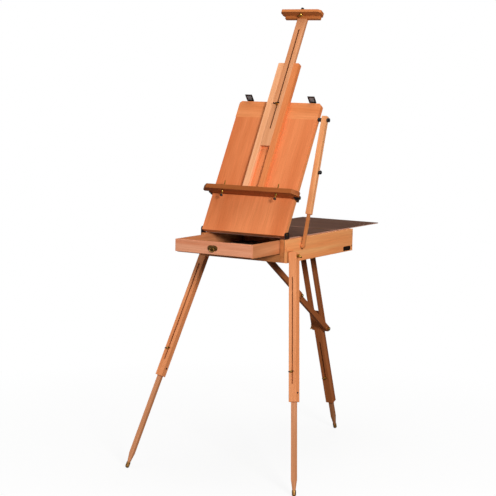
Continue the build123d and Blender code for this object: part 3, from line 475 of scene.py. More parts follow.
# ---- surfaces
@dataclass
class Surface:
    """Points and faces of one or more closed shapes, gathered into one piece.

    Attributes:
        points: blocks of points.
        faces: faces as lists of point numbers.
    """

    points: List[np.ndarray] = field(default_factory=list)
    faces: List[Tuple[int, ...]] = field(default_factory=list)

    def add(self, points: np.ndarray, faces: Iterable[Sequence[int]]) -> None:
        """Adds a block of points and the faces that join them.

        Args:
            points: array of shape (n, 3).
            faces: point numbers of each face, counted within the block.
        """
        start = sum(len(block) for block in self.points)
        self.points.append(np.asarray(points, float))
        self.faces += [tuple(int(i) + start for i in face) for face in faces]

    def rings(self, rings: np.ndarray, hoop: bool = False) -> None:
        """Adds a closed skin over rings of points.

        Point j of each ring joins point j of the next.

        Args:
            rings: array of shape (rings, points in a ring, 3).
            hoop: whether the last ring joins the first. If not, a flat face closes each.
        """
        count, around = rings.shape[:2]
        span = np.arange(count if hoop else count - 1)
        i, j = np.meshgrid(span, np.arange(around), indexing="ij")
        k, n = (j + 1) % around, (i + 1) % count
        corners = (i * around + j, i * around + k, n * around + k, n * around + j)
        faces = np.stack(corners, -1).reshape(-1, 4).tolist()
        if not hoop:
            rim = np.arange(around)
            faces += [rim[::-1].tolist(), (rim + (count - 1) * around).tolist()]
        self.add(rings.reshape(-1, 3), faces)

    def turned(
        self, origin: Vec, axis: Vec, profile: Profile, radius: float = 1.0, height: float = 1.0
    ) -> None:
        """Adds a lathe-turned shape.

        The point at angle a of profile point (r, h) is
        origin + h axis + r (cos a side + sin a other).

        Args:
            origin: foot of the axis.
            axis: direction of the axis.
            profile: the rings.
            radius: what the radii of the profile are multiplied by.
            height: what its heights are multiplied by.
        """
        up = np.array(Vector(axis).normalized())
        helper = (0.0, 0.0, 1.0) if abs(up[2]) < 0.9 else (0.0, 1.0, 0.0)
        side = np.cross(np.array(helper), up)
        side /= np.linalg.norm(side)
        angle = np.linspace(0, 2 * math.pi, 32, endpoint=False)
        r, h = np.array(profile, float).T * ((radius,), (height,))
        ring = np.stack((np.cos(angle), np.sin(angle)), -1) @ np.array((side, np.cross(up, side)))
        points = r[:, None, None] * ring + h[:, None, None] * up
        self.rings(points + np.array(origin))

    def slab(
        self, origin: Vec, normal: Vec, side: Vec, outline: np.ndarray, thickness: float
    ) -> None:
        """Adds a flat plate with softly rounded edges.

        Ring i is the outline drawn towards its middle by e (1 - cos t) and raised by
        thickness / 2 sin t, with t from -90 to 90 degrees and e half the thickness.

        Args:
            origin: middle of the plate.
            normal: direction across the plate.
            side: direction of the outline's first coordinate.
            outline: closed outline, shape (n, 2), anticlockwise.
            thickness: thickness of the plate.
        """
        z = np.array(Vector(normal).normalized())
        x = np.array(side, float)
        x = x - z * (x @ z)
        x /= np.linalg.norm(x)
        y = np.cross(z, x)
        t = np.linspace(-math.pi / 2, math.pi / 2, 7)
        middle = outline.mean(0)
        reach = np.linalg.norm(outline - middle, axis=1).max()
        shrink = 1 - (thickness / 2) * (1 - np.cos(t)) / reach
        flat = middle + (outline - middle)[None] * shrink[:, None, None]
        rise = (thickness / 2) * np.sin(t)
        points = flat[..., :1] * x + flat[..., 1:] * y + rise[:, None, None] * z
        self.rings(points + np.array(origin))

    def shown(self, name: str, finish: Finish) -> bpy.types.Object:
        """Makes the smooth-shaded object and adds it to the scene.

        Args:
            name: name of the object and its mesh.
            finish: its surface.

        Returns:
            The new object.
        """
        mesh = bpy.data.meshes.new(name)
        mesh.from_pydata(np.concatenate(self.points).tolist(), [], self.faces)
        mesh.materials.append(finish.material())
        mesh.polygons.foreach_set("use_smooth", np.ones(len(mesh.polygons), bool))
        mesh.update()
        made = bpy.data.objects.new(name, mesh)
        bpy.context.scene.collection.objects.link(made)
        return made

    def piece(
        self,
        name: str,
        body: str,
        finish: Finish,
        replaced: Sequence[str] = (),
        slot: Optional[str] = None,
    ) -> None:
        """Makes the object and lets it ride on its body.

        Args:
            name: name of the piece.
            body: CAD body that it moves with.
            finish: its surface.
            replaced: CAD nodes that it stands for.
            slot: material slot of the record that it belongs to; not used.
        """
        made = self.shown(name, finish)
        made.data.set_sharp_from_angle(angle=math.radians(CREASE_ANGLE))
        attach(made, body)
        if replaced:
            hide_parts(*replaced)


def rounded(length: float, width: float, power: float = 2.6, count: int = 40) -> np.ndarray:
    """Outline of a rounded oblong.

    Its points are (length / 2 |cos a|^(2/power) sign(cos a),
    width / 2 |sin a|^(2/power) sign(sin a)).

    Args:
        length: size along the first coordinate.
        width: size along the second coordinate.
        power: 2 for an ellipse, larger for squarer corners.
        count: number of points.

    Returns:
        Array of shape (count, 2).
    """
    angle = np.linspace(0, 2 * math.pi, count, endpoint=False)
    c, s = np.cos(angle), np.sin(angle)
    exponent = 2 / power
    first = length / 2 * np.sign(c) * np.abs(c) ** exponent
    second = width / 2 * np.sign(s) * np.abs(s) ** exponent
    return np.stack((first, second), -1)


# ---- dressing CAD nodes
def vertices(node: str) -> np.ndarray:
    """Points of a CAD node's mesh.

    Args:
        node: the node's name.

    Returns:
        Array of shape (n, 3).
    """
    mesh = frame["nodes"][node].data
    points = np.empty(len(mesh.vertices) * 3, np.float32)
    mesh.vertices.foreach_get("co", points)
    return points.reshape(-1, 3)


def dress(node: str, finish: Finish, edge: float) -> None:
    """Gives a CAD node its finish and, where it has them, its broken edges.

    Args:
        node: the node's name.
        finish: its surface.
        edge: width of the broken edges, or 0 to leave them sharp.
    """
    piece = frame["nodes"][node]
    for holder in piece.material_slots:
        holder.material = finish.material()
    if edge:
        weld = piece.modifiers.new("weld", "WELD")
        weld.merge_threshold = WELD_REACH
        bevel = piece.modifiers.new("edges", "BEVEL")
        bevel.width = edge
        bevel.segments = 3
        bevel.limit_method = "ANGLE"
        bevel.angle_limit = math.radians(EDGE_ANGLE)
        bevel.miter_outer = "MITER_ARC"
        normals = piece.modifiers.new("normals", "WEIGHTED_NORMAL")
        normals.weight = 80


class LidAxes:
    """Directions of the lid: X across, Y up along the lid, Z out of its front.

    Attributes:
        origin: a point on the lid's pivot.
        axes: the three directions.
    """

    def __init__(self) -> None:
        """Takes the directions from the joints."""
        self.origin = place("lid_tilt")
        up = direction("mast_slide")
        self.axes = (RIGHT, up, RIGHT.cross(up))

    def point(self, x: float, y: float, z: float) -> Vector:
        """Turns coordinates along the lid into a point of the row frame.

        Args:
            x: distance across the lid from its pivot.
            y: distance up along it.
            z: distance out of its front.

        Returns:
            The point.
        """
        across, up, out = self.axes
        return self.origin + x * across + y * up + z * out

    def extent(self, node: str) -> Tuple[List[float], List[float]]:
        """Box of a CAD node measured along the lid.

        Args:
            node: the node's name.

        Returns:
            Lowest and highest coordinates.
        """
        local = (vertices(node) - np.array(self.origin)) @ np.array(self.axes).T
        return local.min(0).tolist(), local.max(0).tolist()


# ---- hardware
# Profiles as shares of the part's radius and height: the tapered boss of a wing nut, a
# low screw head with a ring-shaped recess, and a knob with a neck, a rounded rim and a
# shallow dish.
BOSS = ((0.96, 0.0), (1.0, 0.06), (0.98, 0.2), (0.8, 0.45), (0.74, 0.9), (0.66, 1.0))
SCREW_HEAD = (
    (1.0, 0.0), (1.0, 0.25), (0.86, 0.7), (0.55, 1.0), (0.34, 1.02), (0.3, 0.55), (0.08, 0.5)
)
KNOB = (
    (0.62, 0.0), (0.6, 0.16), (0.74, 0.26), (0.94, 0.34), (1.0, 0.46),
    (1.0, 0.78), (0.93, 0.92), (0.8, 1.0), (0.45, 0.97), (0.1, 0.95),
)

# An ear's lean and the place of its middle, each as shares outward and up, and its thickness.
EAR_LEAN, EAR_PLACE, EAR_THICKNESS = (0.74, 0.67), (1.25, 0.92), 2.3 * MM


@dataclass(frozen=True)
class WingNut:
    """A cast wing nut: a tapered boss and two ears that rise away from the seat.

    Attributes:
        boss: radius of the boss at its seat.
        height: height of the boss.
        ear: length of one ear.
        bolt: radius of the bolt.
    """

    boss: float
    height: float
    ear: float
    bolt: float = BOLT

    def build(
        self,
        surface: Surface,
        seat: Vec,
        axis: Vec,
        wing: Vec,
        ears: Optional[Surface] = None,
        shank: float = 2.0 * MM,
    ) -> None:
        """Adds the nut and its bolt to a surface.

        Args:
            surface: gets the boss and the bolt.
            seat: middle of the seat.
            axis: direction away from the seat.
            wing: direction that one ear points in.
            ears: gets the ears where they are of another metal.
            shank: length of the bolt below the seat.
        """
        axis = Vector(axis).normalized()
        wing = Vector(wing)
        wing = (wing - axis * wing.dot(axis)).normalized()
        r, h = self.boss, self.height
        boss = [(share * r, rise * h) for share, rise in BOSS]
        surface.turned(seat, axis, ((self.bolt, 0.0), *boss, (self.bolt, h)))
        bolt = ((self.bolt, -shank), (self.bolt, 1.25 * h), (self.bolt * 0.7, 1.35 * h))
        surface.turned(seat, axis, bolt)
        outline = rounded(self.ear, self.ear * 0.72, 2.3)
        for side in (1, -1):
            along = (wing * side * EAR_LEAN[0] + axis * EAR_LEAN[1]).normalized()
            middle = Vector(seat) + wing * side * r * EAR_PLACE[0] + axis * h * EAR_PLACE[1]
            across = wing.cross(axis) * side
            (ears or surface).slab(middle, across, along, outline, EAR_THICKNESS)


def reach(node: str, origin: Vec, axis: Vec) -> Tuple[float, float]:
    """How far a CAD node reaches along a line.

    Args:
        node: the node's name.
        origin: where distances start.
        axis: direction of the line.

    Returns:
        Smallest and largest distance.
    """
    along = (vertices(node) - np.array(origin)) @ np.array(Vector(axis).normalized())
    return float(along.min()), float(along.max())


def on_face(node: str, point: Vector, axis: Vector) -> Vector:
    """Moves a point along an axis to just off the outer face of a CAD node.

    Args:
        node: the node's name.
        point: a point on the axis.
        axis: direction out of the face.

    Returns:
        The point, off the face by the seat gap.
    """
    return point + axis * (reach(node, point, axis)[1] + SEAT_GAP)


def clamp(joint: str, host: str, node: str, nut: WingNut) -> None:
    """Builds a clamp on the face of a timber: brass boss and bolt, black ears.

    Args:
        joint: the joint that it turns on.
        host: CAD node of the timber.
        node: CAD node and body of the clamp.
        nut: its wing nut.
    """
    axis = direction(joint)
    seat = on_face(host, place(joint), axis)
    boss, ears = Surface(), Surface()
    nut.build(boss, seat, axis, (1, 0, 0.25), ears, shank=-reach(node, seat, axis)[0])
    name = joint.replace("_turn", "")
    boss.piece(f"{name}_boss", node, BRASS, (node,))
    ears.piece(f"{name}_wings", node, BLACK)


# ---- sub-assemblies
class Assembly:
    """A part of the easel: CAD nodes that it dresses and pieces that it builds."""

    def coats(self) -> Coats:
        """Lists the CAD nodes to dress.

        Returns:
            Each node's finish and the width of its broken edges.
        """
        raise NotImplementedError

    def fittings(self) -> None:
        """Builds the pieces that the dressed nodes lack. Here there are none."""

    def build(self) -> None:
        """Dresses the CAD nodes, then builds the pieces."""
        for node, (finish, edge) in self.coats().items():
            dress(node, finish, edge)
        self.fittings()


class SketchBox(Assembly):
    """The shallow box: boards, deck, hinge plates, wedges, cleats and pivots."""

    def coats(self) -> Coats:
        """Lists the boards, each of its own tone, and the steel on them."""
        edge = 1.0 * MM
        deck = Wood("beech_plywood", "#8E5C3A", "#744628", Along.DEPTH, 3, roughness=0.6)
        return {
            "side_boards": (Wood("oiled_beech_side", "#FFB676", "#FB9E60", Along.DEPTH, 1), edge),
            "inner_boards": (Wood("oiled_beech_inner", "#DE9058", "#B56A38", Along.DEPTH, 2), edge),
            "rear_board": (Wood("oiled_beech_rear", "#E9A066", "#C98048", Along.WIDTH, 4), edge),
            "front_rail": (Wood("oiled_beech_rail", "#D28A55", "#A9683A", Along.WIDTH, 5), edge),
            "box_deck": (deck, 0.0),
            "leg_wedges": (Wood("oiled_beech_wedge", "#DC8E58", "#B87040", Along.HEIGHT, 6), edge),
            "underside_cleats": (
                Wood("oiled_beech_cleat", "#C07A48", "#96582E", Along.DEPTH, 7), edge
            ),
            "lid_plates": (BLACK, 0.4 * MM),
            "lid_pivot_screws": (BRASS, 0.0),
            "lid_catches": (BLACK, 0.0),
        }

    def fittings(self) -> None:
        """Builds the blank plate, the brass pivots and the screws."""
        self._badge()
        self._pivots()
        self._screws()

    def _badge(self) -> None:
        """Builds the blank plate on the right side, with its two pins."""
        low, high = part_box("badge_plate")
        size, middle = high - low, (low + high) / 2
        plate = Surface()
        plate.slab(middle, RIGHT, (0, 1, 0), rounded(size.y, size.z, 7.0, 64), size.x)
        for end in (1, -1):
            seat = middle + Vector((size.x * 0.45, end * size.y * 0.43, 0))
            plate.turned(seat, RIGHT, SCREW_HEAD, 1.5 * MM, 0.5 * MM)
        dark = Metal("dark_bronze_plate", "#3A2A20", "#2A1E18", 0.7, 0.4)
        plate.piece("badge", "box", dark, ("badge_plate",), "brass")

    def _pivots(self) -> None:
        """Builds the wing nuts of the front legs and the bolts below the deck."""
        brass = Surface()
        bolt, pin, leg_half = 3.8 * MM, 2.9 * MM, 15.6 * MM
        washer = ((8.0 * MM, 0.0), (8.0 * MM, 0.4 * MM), (7.6 * MM, 0.6 * MM))
        for side, name in ((1, "leg_right_fold"), (-1, "leg_left_fold")):
            axis, middle = direction(name) * side, place(name)
            face = middle + axis * leg_half
            WingNut(6.2 * MM, 8.6 * MM, 13.0 * MM).build(brass, face, axis, (0, 1, -0.7))
            brass.turned(middle, axis, ((bolt, -leg_half - 2.0 * MM), (bolt, leg_half)))
            brass.turned(middle + axis * (leg_half - 0.5 * MM), axis, washer)
        fork = place("rear_fork_fold")
        fork_half = (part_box("rear_fork")[1].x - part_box("rear_fork")[0].x) / 2
        brass.turned(fork, RIGHT, ((bolt, -fork_half), (bolt, fork_half)))
        for side in (1, -1):
            seat = fork + Vector((side * fork_half, 0, 0))
            brass.turned(seat, (side, 0, 0), SCREW_HEAD, 6.0 * MM, 3.0 * MM)
        brace = place("brace_fold")
        brass.turned(brace - Vector((0.2 * MM, 0, 0)), -RIGHT, SCREW_HEAD, 5.0 * MM, 2.6 * MM)
        brass.turned(brace, RIGHT, ((pin, 0.0), (pin, 27.0 * MM)))
        brass.piece("leg_and_fork_pivots", "box", BRASS, ("pivot_bolts",))

    def _screws(self) -> None:
        """Builds the countersunk screws of the side boards and the rear board."""
        brass = Surface()
        low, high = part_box("side_boards")
        sunk, radius, rise = 0.3 * MM, 3.2 * MM, 0.9 * MM
        for side in (1, -1):
            for z in (low.z + 20 * MM, high.z - 20 * MM):
                seat = (side * high.x - side * sunk, high.y - 6 * MM, z)
                brass.turned(seat, (side, 0, 0), SCREW_HEAD, radius, rise)
        for x in (-0.16, -0.06, 0.06, 0.16):
            seat = (x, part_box("rear_board")[1].y - sunk, low.z + 24 * MM)
            brass.turned(seat, (0, 1, 0), SCREW_HEAD, radius, rise)
        brass.piece("box_screws", "box", BRASS)


class Drawer(Assembly):
    """The drawer with its front, walls, dividers, zinc sheet, lock and bail."""

    def coats(self) -> Coats:
        """Lists the wooden parts and the zinc sheet."""
        front = Wood("oiled_beech_drawer_front", "#F8AE88", "#E48E66", Along.WIDTH, 11)
        walls = Wood("beech_drawer_walls", "#E2986A", "#C27648", Along.DEPTH, 12)
        dividers = Wood("beech_dividers", "#F6BC92", "#E09A6C", Along.DEPTH, 13)
        return {
            "drawer_front": (front, 1.2 * MM),
            "drawer_box": (walls, 0.8 * MM),
            "drawer_dividers": (dividers, 0.6 * MM),
            "drawer_liner": (ZINC, 0.0),
        }

    def fittings(self) -> None:
        """Builds the lock's backplate with its screws and post, and then the bail."""
        low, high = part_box("drawer_lock")
        face = Vector(((low.x + high.x) / 2, high.y, (low.z + high.z) / 2))
        outward = Vector((0, -1, 0))
        thick = 1.5 * MM
        outline = rounded(high.x - low.x, high.z - low.z, 2.8, 64)
        plate = Surface()
        plate.slab(face + outward * thick / 2, outward, RIGHT, outline, thick)
        seat = face + outward * thick
        post = ((4.4, -0.2), (4.2, 0.8), (3.1, 1.6), (3.0, 8.0), (2.4, 9.0))
        plate.turned(seat, outward, post, MM, MM)
        for side in (1, -1):
            plate.turned(seat + Vector((side * 16 * MM, 0, 0)), outward, SCREW_HEAD, 2.6 * MM, 0.8 * MM)
        plate.piece("lock_plate", "drawer", AGED, ("drawer_lock",))
        self._bail()

    def _bail(self) -> None:
        """Builds the bail as one bent wire with rounded corners.

        The wire's middle line is a rounded oblong
        (w / 2 |cos a|^(2/5) sign cos a, h / 2 |sin a|^(2/5) sign sin a), and each
        point of the skin is middle + r (cos b outward + sin b forward).
        """
        low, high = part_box("drawer_ring")
        wire = (high.y - low.y) / 2
        width, height = high.x - low.x - 2 * wire, high.z - low.z - 2 * wire
        middle = np.array((low + high) / 2)
        line = rounded(width, height, 5.0, 72)
        step = np.roll(line, -1, 0) - np.roll(line, 1, 0)
        step /= np.linalg.norm(step, axis=1, keepdims=True)
        out = np.stack((step[:, 1], -step[:, 0]), -1)
        b = np.linspace(0, 2 * math.pi, 12, endpoint=False)
        flat = line[:, None] + wire * np.cos(b)[None, :, None] * out[:, None]
        depth = np.broadcast_to(wire * np.sin(b), flat.shape[:2])
        points = middle + np.stack((flat[..., 0], depth, flat[..., 1]), -1)
        bail = Surface()
        bail.rings(points, hoop=True)
        bail.piece("lock_bail", "drawer_bail", BRASS, ("drawer_ring",))


class Palette(Assembly):
    """The two-leaf palette: varnished dark on top, with two brass hinges."""

    def coats(self) -> Coats:
        """Lists the leaves and the hinges."""
        tones = ("#84604F", "#664638")
        leaf = Wood(
            "varnished_palette", *tones, Along.WIDTH, 21, 0.05, 0.34, coat=0.25, bare="#C79A86"
        )
        return {
            "palette_front": (leaf, 0.5 * MM),
            "palette_rear": (leaf, 0.5 * MM),
            "palette_hinges": (BRASS, 0.0),
        }


class Lid(Assembly):
    """The lid: panel, frame, top batten and latches."""

    latches = ("latch_right", "latch_left")

    def coats(self) -> Coats:
        """Lists the lid's wood and its black steel."""
        wood = Wood("oiled_beech_lid_frame", "#F0A56E", "#D98650", Along.LID, 32)
        return {
            "lid_panel": (Wood("oiled_beech_panel", "#F2945E", "#DF7C48", Along.LID, 31, 0.06), 0.0),
            "lid_frame": (wood, 0.8 * MM),
            "lid_top_batten": (
                Wood("oiled_beech_batten", "#F29A62", "#E3874F", Along.WIDTH, 33), 0.8 * MM
            ),
            "strut_bolt": (BLACK, 0.6 * MM),
            "latch_bases": (BLACK, 0.0),
            **{name: (BLACK, 0.3 * MM) for name in self.latches},
        }

    def fittings(self) -> None:
        """Builds the bright plate inside the raised border of each latch."""
        grey = Metal("zinc_plated_latch", "#8C9094", "#6E7276", 0.3, 0.5)
        border, gap = 5.4 * MM, 3.0 * MM
        for name in self.latches:
            hinge = place(f"{name}_turn")
            up = centre(name) - hinge
            up = Vector((0, up.y, up.z)).normalized()
            out = RIGHT.cross(up)
            length = reach(name, hinge, up)[1]
            inside = length - gap - 2 * border
            middle = hinge + up * (length - border - inside / 2) + out * 1.0 * MM
            plate = Surface()
            plate.slab(middle, out, RIGHT, rounded(20.2 * MM, inside, 9.0, 48), 0.5 * MM)
            plate.piece(f"{name}_insert", name, grey)


class Strut(Assembly):
    """The strut that holds the lid up, with its rod and its knob."""

    def coats(self) -> Coats:
        """Lists the slotted bar and the rod that runs in it."""
        return {
            "strut_bar": (Wood("oiled_beech_strut", "#FBB47C", "#E8965E", Along.STRUT, 42), 0.8 * MM),
            "strut_rod": (Wood("oiled_beech_rod", "#E79A62", "#C97A44", Along.STRUT, 45), 0.5 * MM),
        }

    def fittings(self) -> None:
        """Builds the knob and its bolt."""
        seat = on_face("strut_bar", centre("strut_knob"), RIGHT)
        inside, outside = reach("strut_knob", seat, RIGHT)
        metal = Surface()
        metal.turned(seat, RIGHT, KNOB, 8.0 * MM, outside)
        metal.turned(seat, RIGHT, ((BOLT, inside), (BOLT, 1.0 * MM)))
        metal.piece("strut_thumb_knob", "strut_knob", BLACK, ("strut_knob",))


class Mast(Assembly):
    """The mast on the lid, its sliding inner mast, the canvas head and the tray."""

    def coats(self) -> Coats:
        """Lists the wood of the mast and the clamps of the tray."""
        pair = ("#F0965E", "#E08148")
        rails = Wood("pale_beech_rails", "#FFBE90", "#F0A470", Along.LID, 51, pair=pair)
        floor = Wood("oiled_beech_mast_floor", "#EC8F5A", "#D87743", Along.LID, 52)
        inner = Wood("oiled_beech_inner_mast", "#F0AE80", "#DA9060", Along.LID, 53)
        return {
            "mast_rails": (rails, 1.0 * MM),
            "mast_floor": (floor, 0.4 * MM),
            "inner_mast": (inner, 0.8 * MM),
            "canvas_head": (Wood("oiled_beech_head", "#D9854C", "#B5652F", Along.WIDTH, 54), 1.0 * MM),
            "tray": (Wood("oiled_beech_tray", "#BC6C38", "#924E24", Along.WIDTH, 55), 1.0 * MM),
            "tray_clamps": (BLACK, 0.4 * MM),
        }

    def fittings(self) -> None:
        """Builds the clamp, the screws and the knobs."""
        nut = WingNut(6.4 * MM, 9.0 * MM, 13.0 * MM)
        clamp("mast_clamp_turn", "inner_mast", "mast_clamp", nut)
        self._tray_screws()
        self._canvas_screw()

    def _tray_screws(self) -> None:
        """Builds the two upright screws with their knobs, and a knob below the tray."""
        lid = LidAxes()
        low, high = lid.extent("tray_screws")
        tray_low, _ = lid.extent("tray")
        metal, dark = Surface(), Surface()
        depth, length = (low[2] + high[2]) / 2, high[1] - low[1]
        screw = ((BOLT, 1.0 * MM), (BOLT, length - 0.6 * MM), (1.6 * MM, length))
        for side in (1, -1):
            x = side * (high[0] - 6.0 * MM)
            metal.turned(lid.point(x, low[1], depth), lid.axes[1], screw)
            dark.turned(lid.point(x, low[1] + 8.0 * MM, depth), -lid.axes[1], KNOB, 6.0 * MM, 8.0 * MM)
            metal.turned(lid.point(x, tray_low[1], depth), -lid.axes[1], KNOB, 5.3 * MM, 5.6 * MM)
        metal.piece("tray_screws_bright", "mast", BRASS, ("tray_screws",))
        dark.piece("tray_screw_knobs", "mast", BLACK)

    def _canvas_screw(self) -> None:
        """Builds the screw through the canvas head with its wing nut and knob."""
        lid = LidAxes()
        low, high = lid.extent("canvas_screw")
        _, head_high = lid.extent("canvas_head")
        depth = (low[2] + high[2]) / 2
        metal, dark = Surface(), Surface()
        screw = ((BOLT, 0.0), (BOLT, high[1] - low[1] - 1.0 * MM))
        metal.turned(lid.point(0, low[1], depth), lid.axes[1], screw)
        seat = lid.point(0, head_high[1] + SEAT_GAP, depth)
        dark.turned(seat, lid.axes[1], KNOB, 6.3 * MM, high[1] - head_high[1] - SEAT_GAP)
        under = lid.point(0, low[1] + 15.5 * MM, depth)
        WingNut(5.0 * MM, 7.6 * MM, 11.5 * MM).build(metal, under, -lid.axes[1], (1, 0, 0))
        metal.piece("canvas_screw_bright", "canvas_screw", BRASS, ("canvas_screw",))
        dark.piece("canvas_screw_knob", "canvas_screw", BLACK)


@dataclass
class FrontLeg(Assembly):
    """A telescopic front leg: slotted upper part, runner with its tip, wing bolt.

    Attributes:
        name: right or left.
        along: direction of the leg's grain.
        board: number of its timber.
    """

    name: str
    along: Along
    board: int

    def coats(self) -> Coats:
        """Lists the two timbers of the leg and its tip."""
        upper = Wood("oiled_beech_leg", "#FFAD76", "#EC925A", self.along, self.board)
        lower = Wood("worn_beech_runner", "#EDA578", "#C98354", self.along, self.board + 1)
        return {
            f"leg_upper_{self.name}": (upper, 0.6 * MM),
            f"leg_lower_{self.name}": (lower, 1.0 * MM),
            f"leg_tip_{self.name}": (TIP, 0.5 * MM),
        }

    def fittings(self) -> None:
        """Builds the clamp, and the dark stud low on the right side of the upper part."""
        upper, turn = f"leg_upper_{self.name}", f"leg_{self.name}_clamp_turn"
        nut = WingNut(5.4 * MM, 7.8 * MM, 12.0 * MM)
        clamp(turn, upper, f"leg_clamp_{self.name}", nut)
        along = direction(f"leg_{self.name}_slide")
        side = along.cross(direction(turn)).normalized()
        if side.x < 0:
            side = -side
        middle = centre(upper)
        end = min(reach(upper, middle, along), key=lambda d: (middle + along * d).z)
        above = 34.0 * MM  # from the lower end
        foot = middle + along * (end - math.copysign(above, end))
        stud = Surface()
        stud.turned(on_face(upper, foot, side), side, SCREW_HEAD, 3.6 * MM, 2.4 * MM)
        stud.piece(f"leg_{self.name}_stud", upper, BLACK)


class RearLeg(Assembly):
    """The rear leg: fork, leg, runner, and the brace that folds with it."""

    def coats(self) -> Coats:
        """Lists the wood of the leg and of the brace, darkened as painted shade, and the tip."""
        # Painted shade: the fork, leg, brace and runner take darker beech tones than the front legs,
        # for the shade below the box.
        tones = ("#BE7040", "#94522B")
        runner = Wood("worn_beech_runner", "#C98A60", "#9E6540", Along.REAR_LEG, 73)
        return {
            "rear_fork": (Wood("oiled_beech_fork", *tones, Along.REAR_LEG, 71), 1.0 * MM),
            "rear_leg": (Wood("oiled_beech_rear_leg", *tones, Along.REAR_LEG, 72), 0.6 * MM),
            "rear_lower": (runner, 1.0 * MM),
            "rear_tip": (TIP, 0.5 * MM),
            "brace_front": (Wood("oiled_beech_brace", *tones, Along.BRACE, 74), 0.8 * MM),
            "brace_rear": (Wood("oiled_beech_brace", *tones, Along.BRACE, 75), 0.8 * MM),
        }

    def fittings(self) -> None:
        """Builds the wing bolts of the clamp and the knee, and the brace's bolts."""
        axis = direction("rear_clamp_turn")
        seat = on_face("rear_leg", place("rear_clamp_turn"), axis)
        low, _ = reach("rear_clamp", seat, axis)
        clamp = Surface()
        nut = WingNut(5.4 * MM, 7.8 * MM, 12.0 * MM)
        nut.build(clamp, seat, axis, (1, 0, 0.2), shank=-low)
        clamp.piece("rear_wing_nut", "rear_clamp", BRASS, ("rear_clamp",))
        self._knee()

    def _knee(self) -> None:
        """Builds the bolt of the knee, the brace's bolt, and their knobs."""
        knee = place("rear_knee")
        seat = on_face("rear_fork", knee, -RIGHT)
        far, _ = reach("knee_bolt", seat, -RIGHT)
        bolt = Surface()
        WingNut(5.0 * MM, 7.8 * MM, 12.0 * MM).build(bolt, seat, -RIGHT, (0, 0.4, 1), shank=-far)
        bolt.piece("knee_wing_bolt", "rear_fork", BRASS, ("knee_bolt",))
        metal = Surface()
        node = "brace_bolts"
        joined = place("brace_joint")
        joined.x = 0
        low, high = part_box("brace_rear")[0].x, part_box("brace_front")[1].x
        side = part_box("brace_rear")[1].x
        outer = max(high, side)
        metal.turned(joined, RIGHT, ((3.0 * MM, low - 1.0 * MM), (3.0 * MM, outer)))
        metal.turned(joined + RIGHT * low, -RIGHT, SCREW_HEAD, 5.0 * MM, 2.4 * MM)
        top = reach(node, (0, 0, 0), RIGHT)[1]
        metal.turned(joined + RIGHT * outer, RIGHT, KNOB, 6.0 * MM, max(top - outer, 6.0 * MM))
        metal.turned(Vector((side, knee.y, knee.z)), RIGHT, KNOB, 8.0 * MM, 7.0 * MM)
        metal.piece("brace_joint_bolts", "brace_rear", BRASS, (node,))


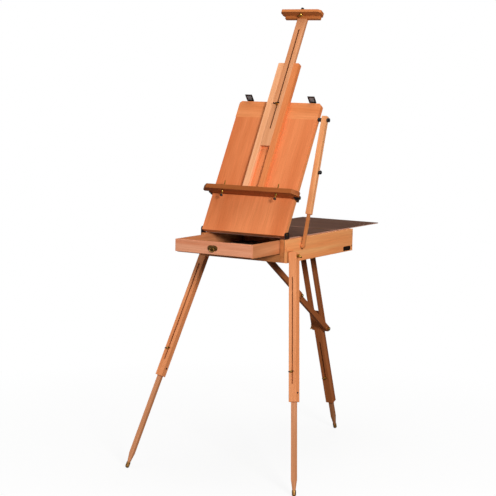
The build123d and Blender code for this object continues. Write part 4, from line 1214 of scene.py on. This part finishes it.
# ---- the studio
@dataclass
class Studio:
    """Floor, backdrop, soft lights and the camera.

    Attributes:
        turn: how far the camera stands round to the right, in degrees.
        tilt: how far it looks down, in degrees.
        roll: how far it is rolled, in degrees.
        stand: where it stands.
        focal: focal length over the width of the picture.
    """

    turn: float = 30.54167
    tilt: float = 6.72262
    roll: float = 1.30371
    stand: Tuple[float, float, float] = (2.89635, -5.16902, 1.55103)
    focal: float = 2.95429

    def build(self) -> None:
        """Makes the floor, the lights, the world and the camera."""
        bpy.context.scene.view_settings.view_transform = "Standard"
        self._floor()
        self._world()
        self._light("key_softbox", (3.7, -3.35, 2.5), 1.2, 226.0)
        self._light("fill_softbox", (-2.0, -4.2, 1.7), 2.4, 31.0)
        self._light("top_softbox", (0.2, 0.2, 3.8), 2.0, 40.0)
        self._light("rear_softbox", (-1.6, 4.6, 2.3), 2.4, 80.0, mirrored=False)
        self._camera()

    def _floor(self) -> None:
        """Makes the sheet of paper that the easel stands on.

        The sheet is z = 2.4 b^2 for b metres past the back of the flat part, so it
        rises in one smooth curve behind the easel.
        """
        half_width, near, far, steepness = 14.0, -12.0, 9.0, 2.4
        across = np.linspace(-half_width, half_width, 3)
        back = np.linspace(0.0, 1.6, 25)
        depth = np.concatenate(([near], far + back))
        rise = np.concatenate(([0.0], steepness * back**2))
        x, y = np.meshgrid(across, depth)
        z = np.broadcast_to(rise[:, None], x.shape)
        points = np.stack((x, y, z), -1).reshape(-1, 3)
        rows, columns = x.shape
        i, j = np.meshgrid(np.arange(rows - 1), np.arange(columns - 1), indexing="ij")
        first = i * columns + j
        faces = np.stack((first, first + 1, first + columns + 1, first + columns), -1)
        sheet = Surface()
        sheet.add(points, faces.reshape(-1, 4).tolist())
        floor = sheet.shown("paper_sheet", PAPER)

    @staticmethod
    def _world() -> None:
        """Gives the room a white surround, dimmer as a light than to the camera."""
        world = bpy.data.worlds.new("studio")
        world.use_nodes = True
        graph = Graph(world.node_tree)
        ray = graph.node("LightPath")
        dimmed = {"Value": ray.outputs["Is Camera Ray"], "To Min": 0.14, "To Max": 1.0}
        strength = graph.node("MapRange", dimmed).outputs["Result"]
        surround = graph.tree.nodes["Background"]
        graph.feed(surround, {"Color": linear("#FFFFFF"), "Strength": strength})
        bpy.context.scene.world = world

    @staticmethod
    def _light(
        name: str, where: Vec, size: float, power: float, mirrored: bool = True
    ) -> None:
        """Adds a square soft light that faces the middle of the easel.

        Args:
            name: name of the light.
            where: its position.
            size: length of its side.
            power: its power, in watts.
            mirrored: whether it shows in glossy surfaces.
        """
        lamp = bpy.data.lights.new(name, "AREA")
        lamp.size = size
        lamp.energy = power
        held = bpy.data.objects.new(name, lamp)
        held.location = where
        held.visible_glossy = mirrored
        aim = Vector((0, 0, 0.95)) - Vector(where)
        held.rotation_euler = aim.to_track_quat("-Z", "Y").to_euler()
        bpy.context.scene.collection.objects.link(held)

    def _camera(self) -> None:
        """Adds the camera.

        Its back points along (sin a cos e, -cos a cos e, sin e) for turn a and tilt e,
        its right along (cos a, sin a, 0), and both its right and its up are then
        rolled about the back.
        """
        a, e, r = (math.radians(v) for v in (self.turn, self.tilt, self.roll))
        back = Vector((math.sin(a) * math.cos(e), -math.cos(a) * math.cos(e), math.sin(e)))
        right = Vector((math.cos(a), math.sin(a), 0))
        up = back.cross(right)
        rolled_right = math.cos(r) * right + math.sin(r) * up
        rolled_up = math.cos(r) * up - math.sin(r) * right
        data = bpy.data.cameras.new("studio_camera")
        data.lens = self.focal * data.sensor_width
        camera = bpy.data.objects.new("studio_camera", data)
        turned = Matrix((rolled_right, rolled_up, back)).transposed()
        camera.matrix_world = Matrix.Translation(self.stand) @ turned.to_4x4()
        bpy.context.scene.collection.objects.link(camera)
        bpy.context.scene.camera = camera


def main() -> None:
    """Builds the scene around the frame."""
    logging.basicConfig(level=logging.INFO, format="%(name)s: %(message)s")
    for spare in [o for o in bpy.data.objects if o.name in ("Cube", "Light", "Camera")]:
        bpy.data.objects.remove(spare)
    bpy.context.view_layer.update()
    assemblies = (
        Studio(),
        SketchBox(),
        Drawer(),
        Palette(),
        Lid(),
        Strut(),
        Mast(),
        FrontLeg("right", Along.LEG_RIGHT, 61),
        FrontLeg("left", Along.LEG_LEFT, 65),
        RearLeg(),
    )
    for assembly in assemblies:
        assembly.build()
        log.info("built %s", type(assembly).__name__)


if __name__ == "__main__":
    main()
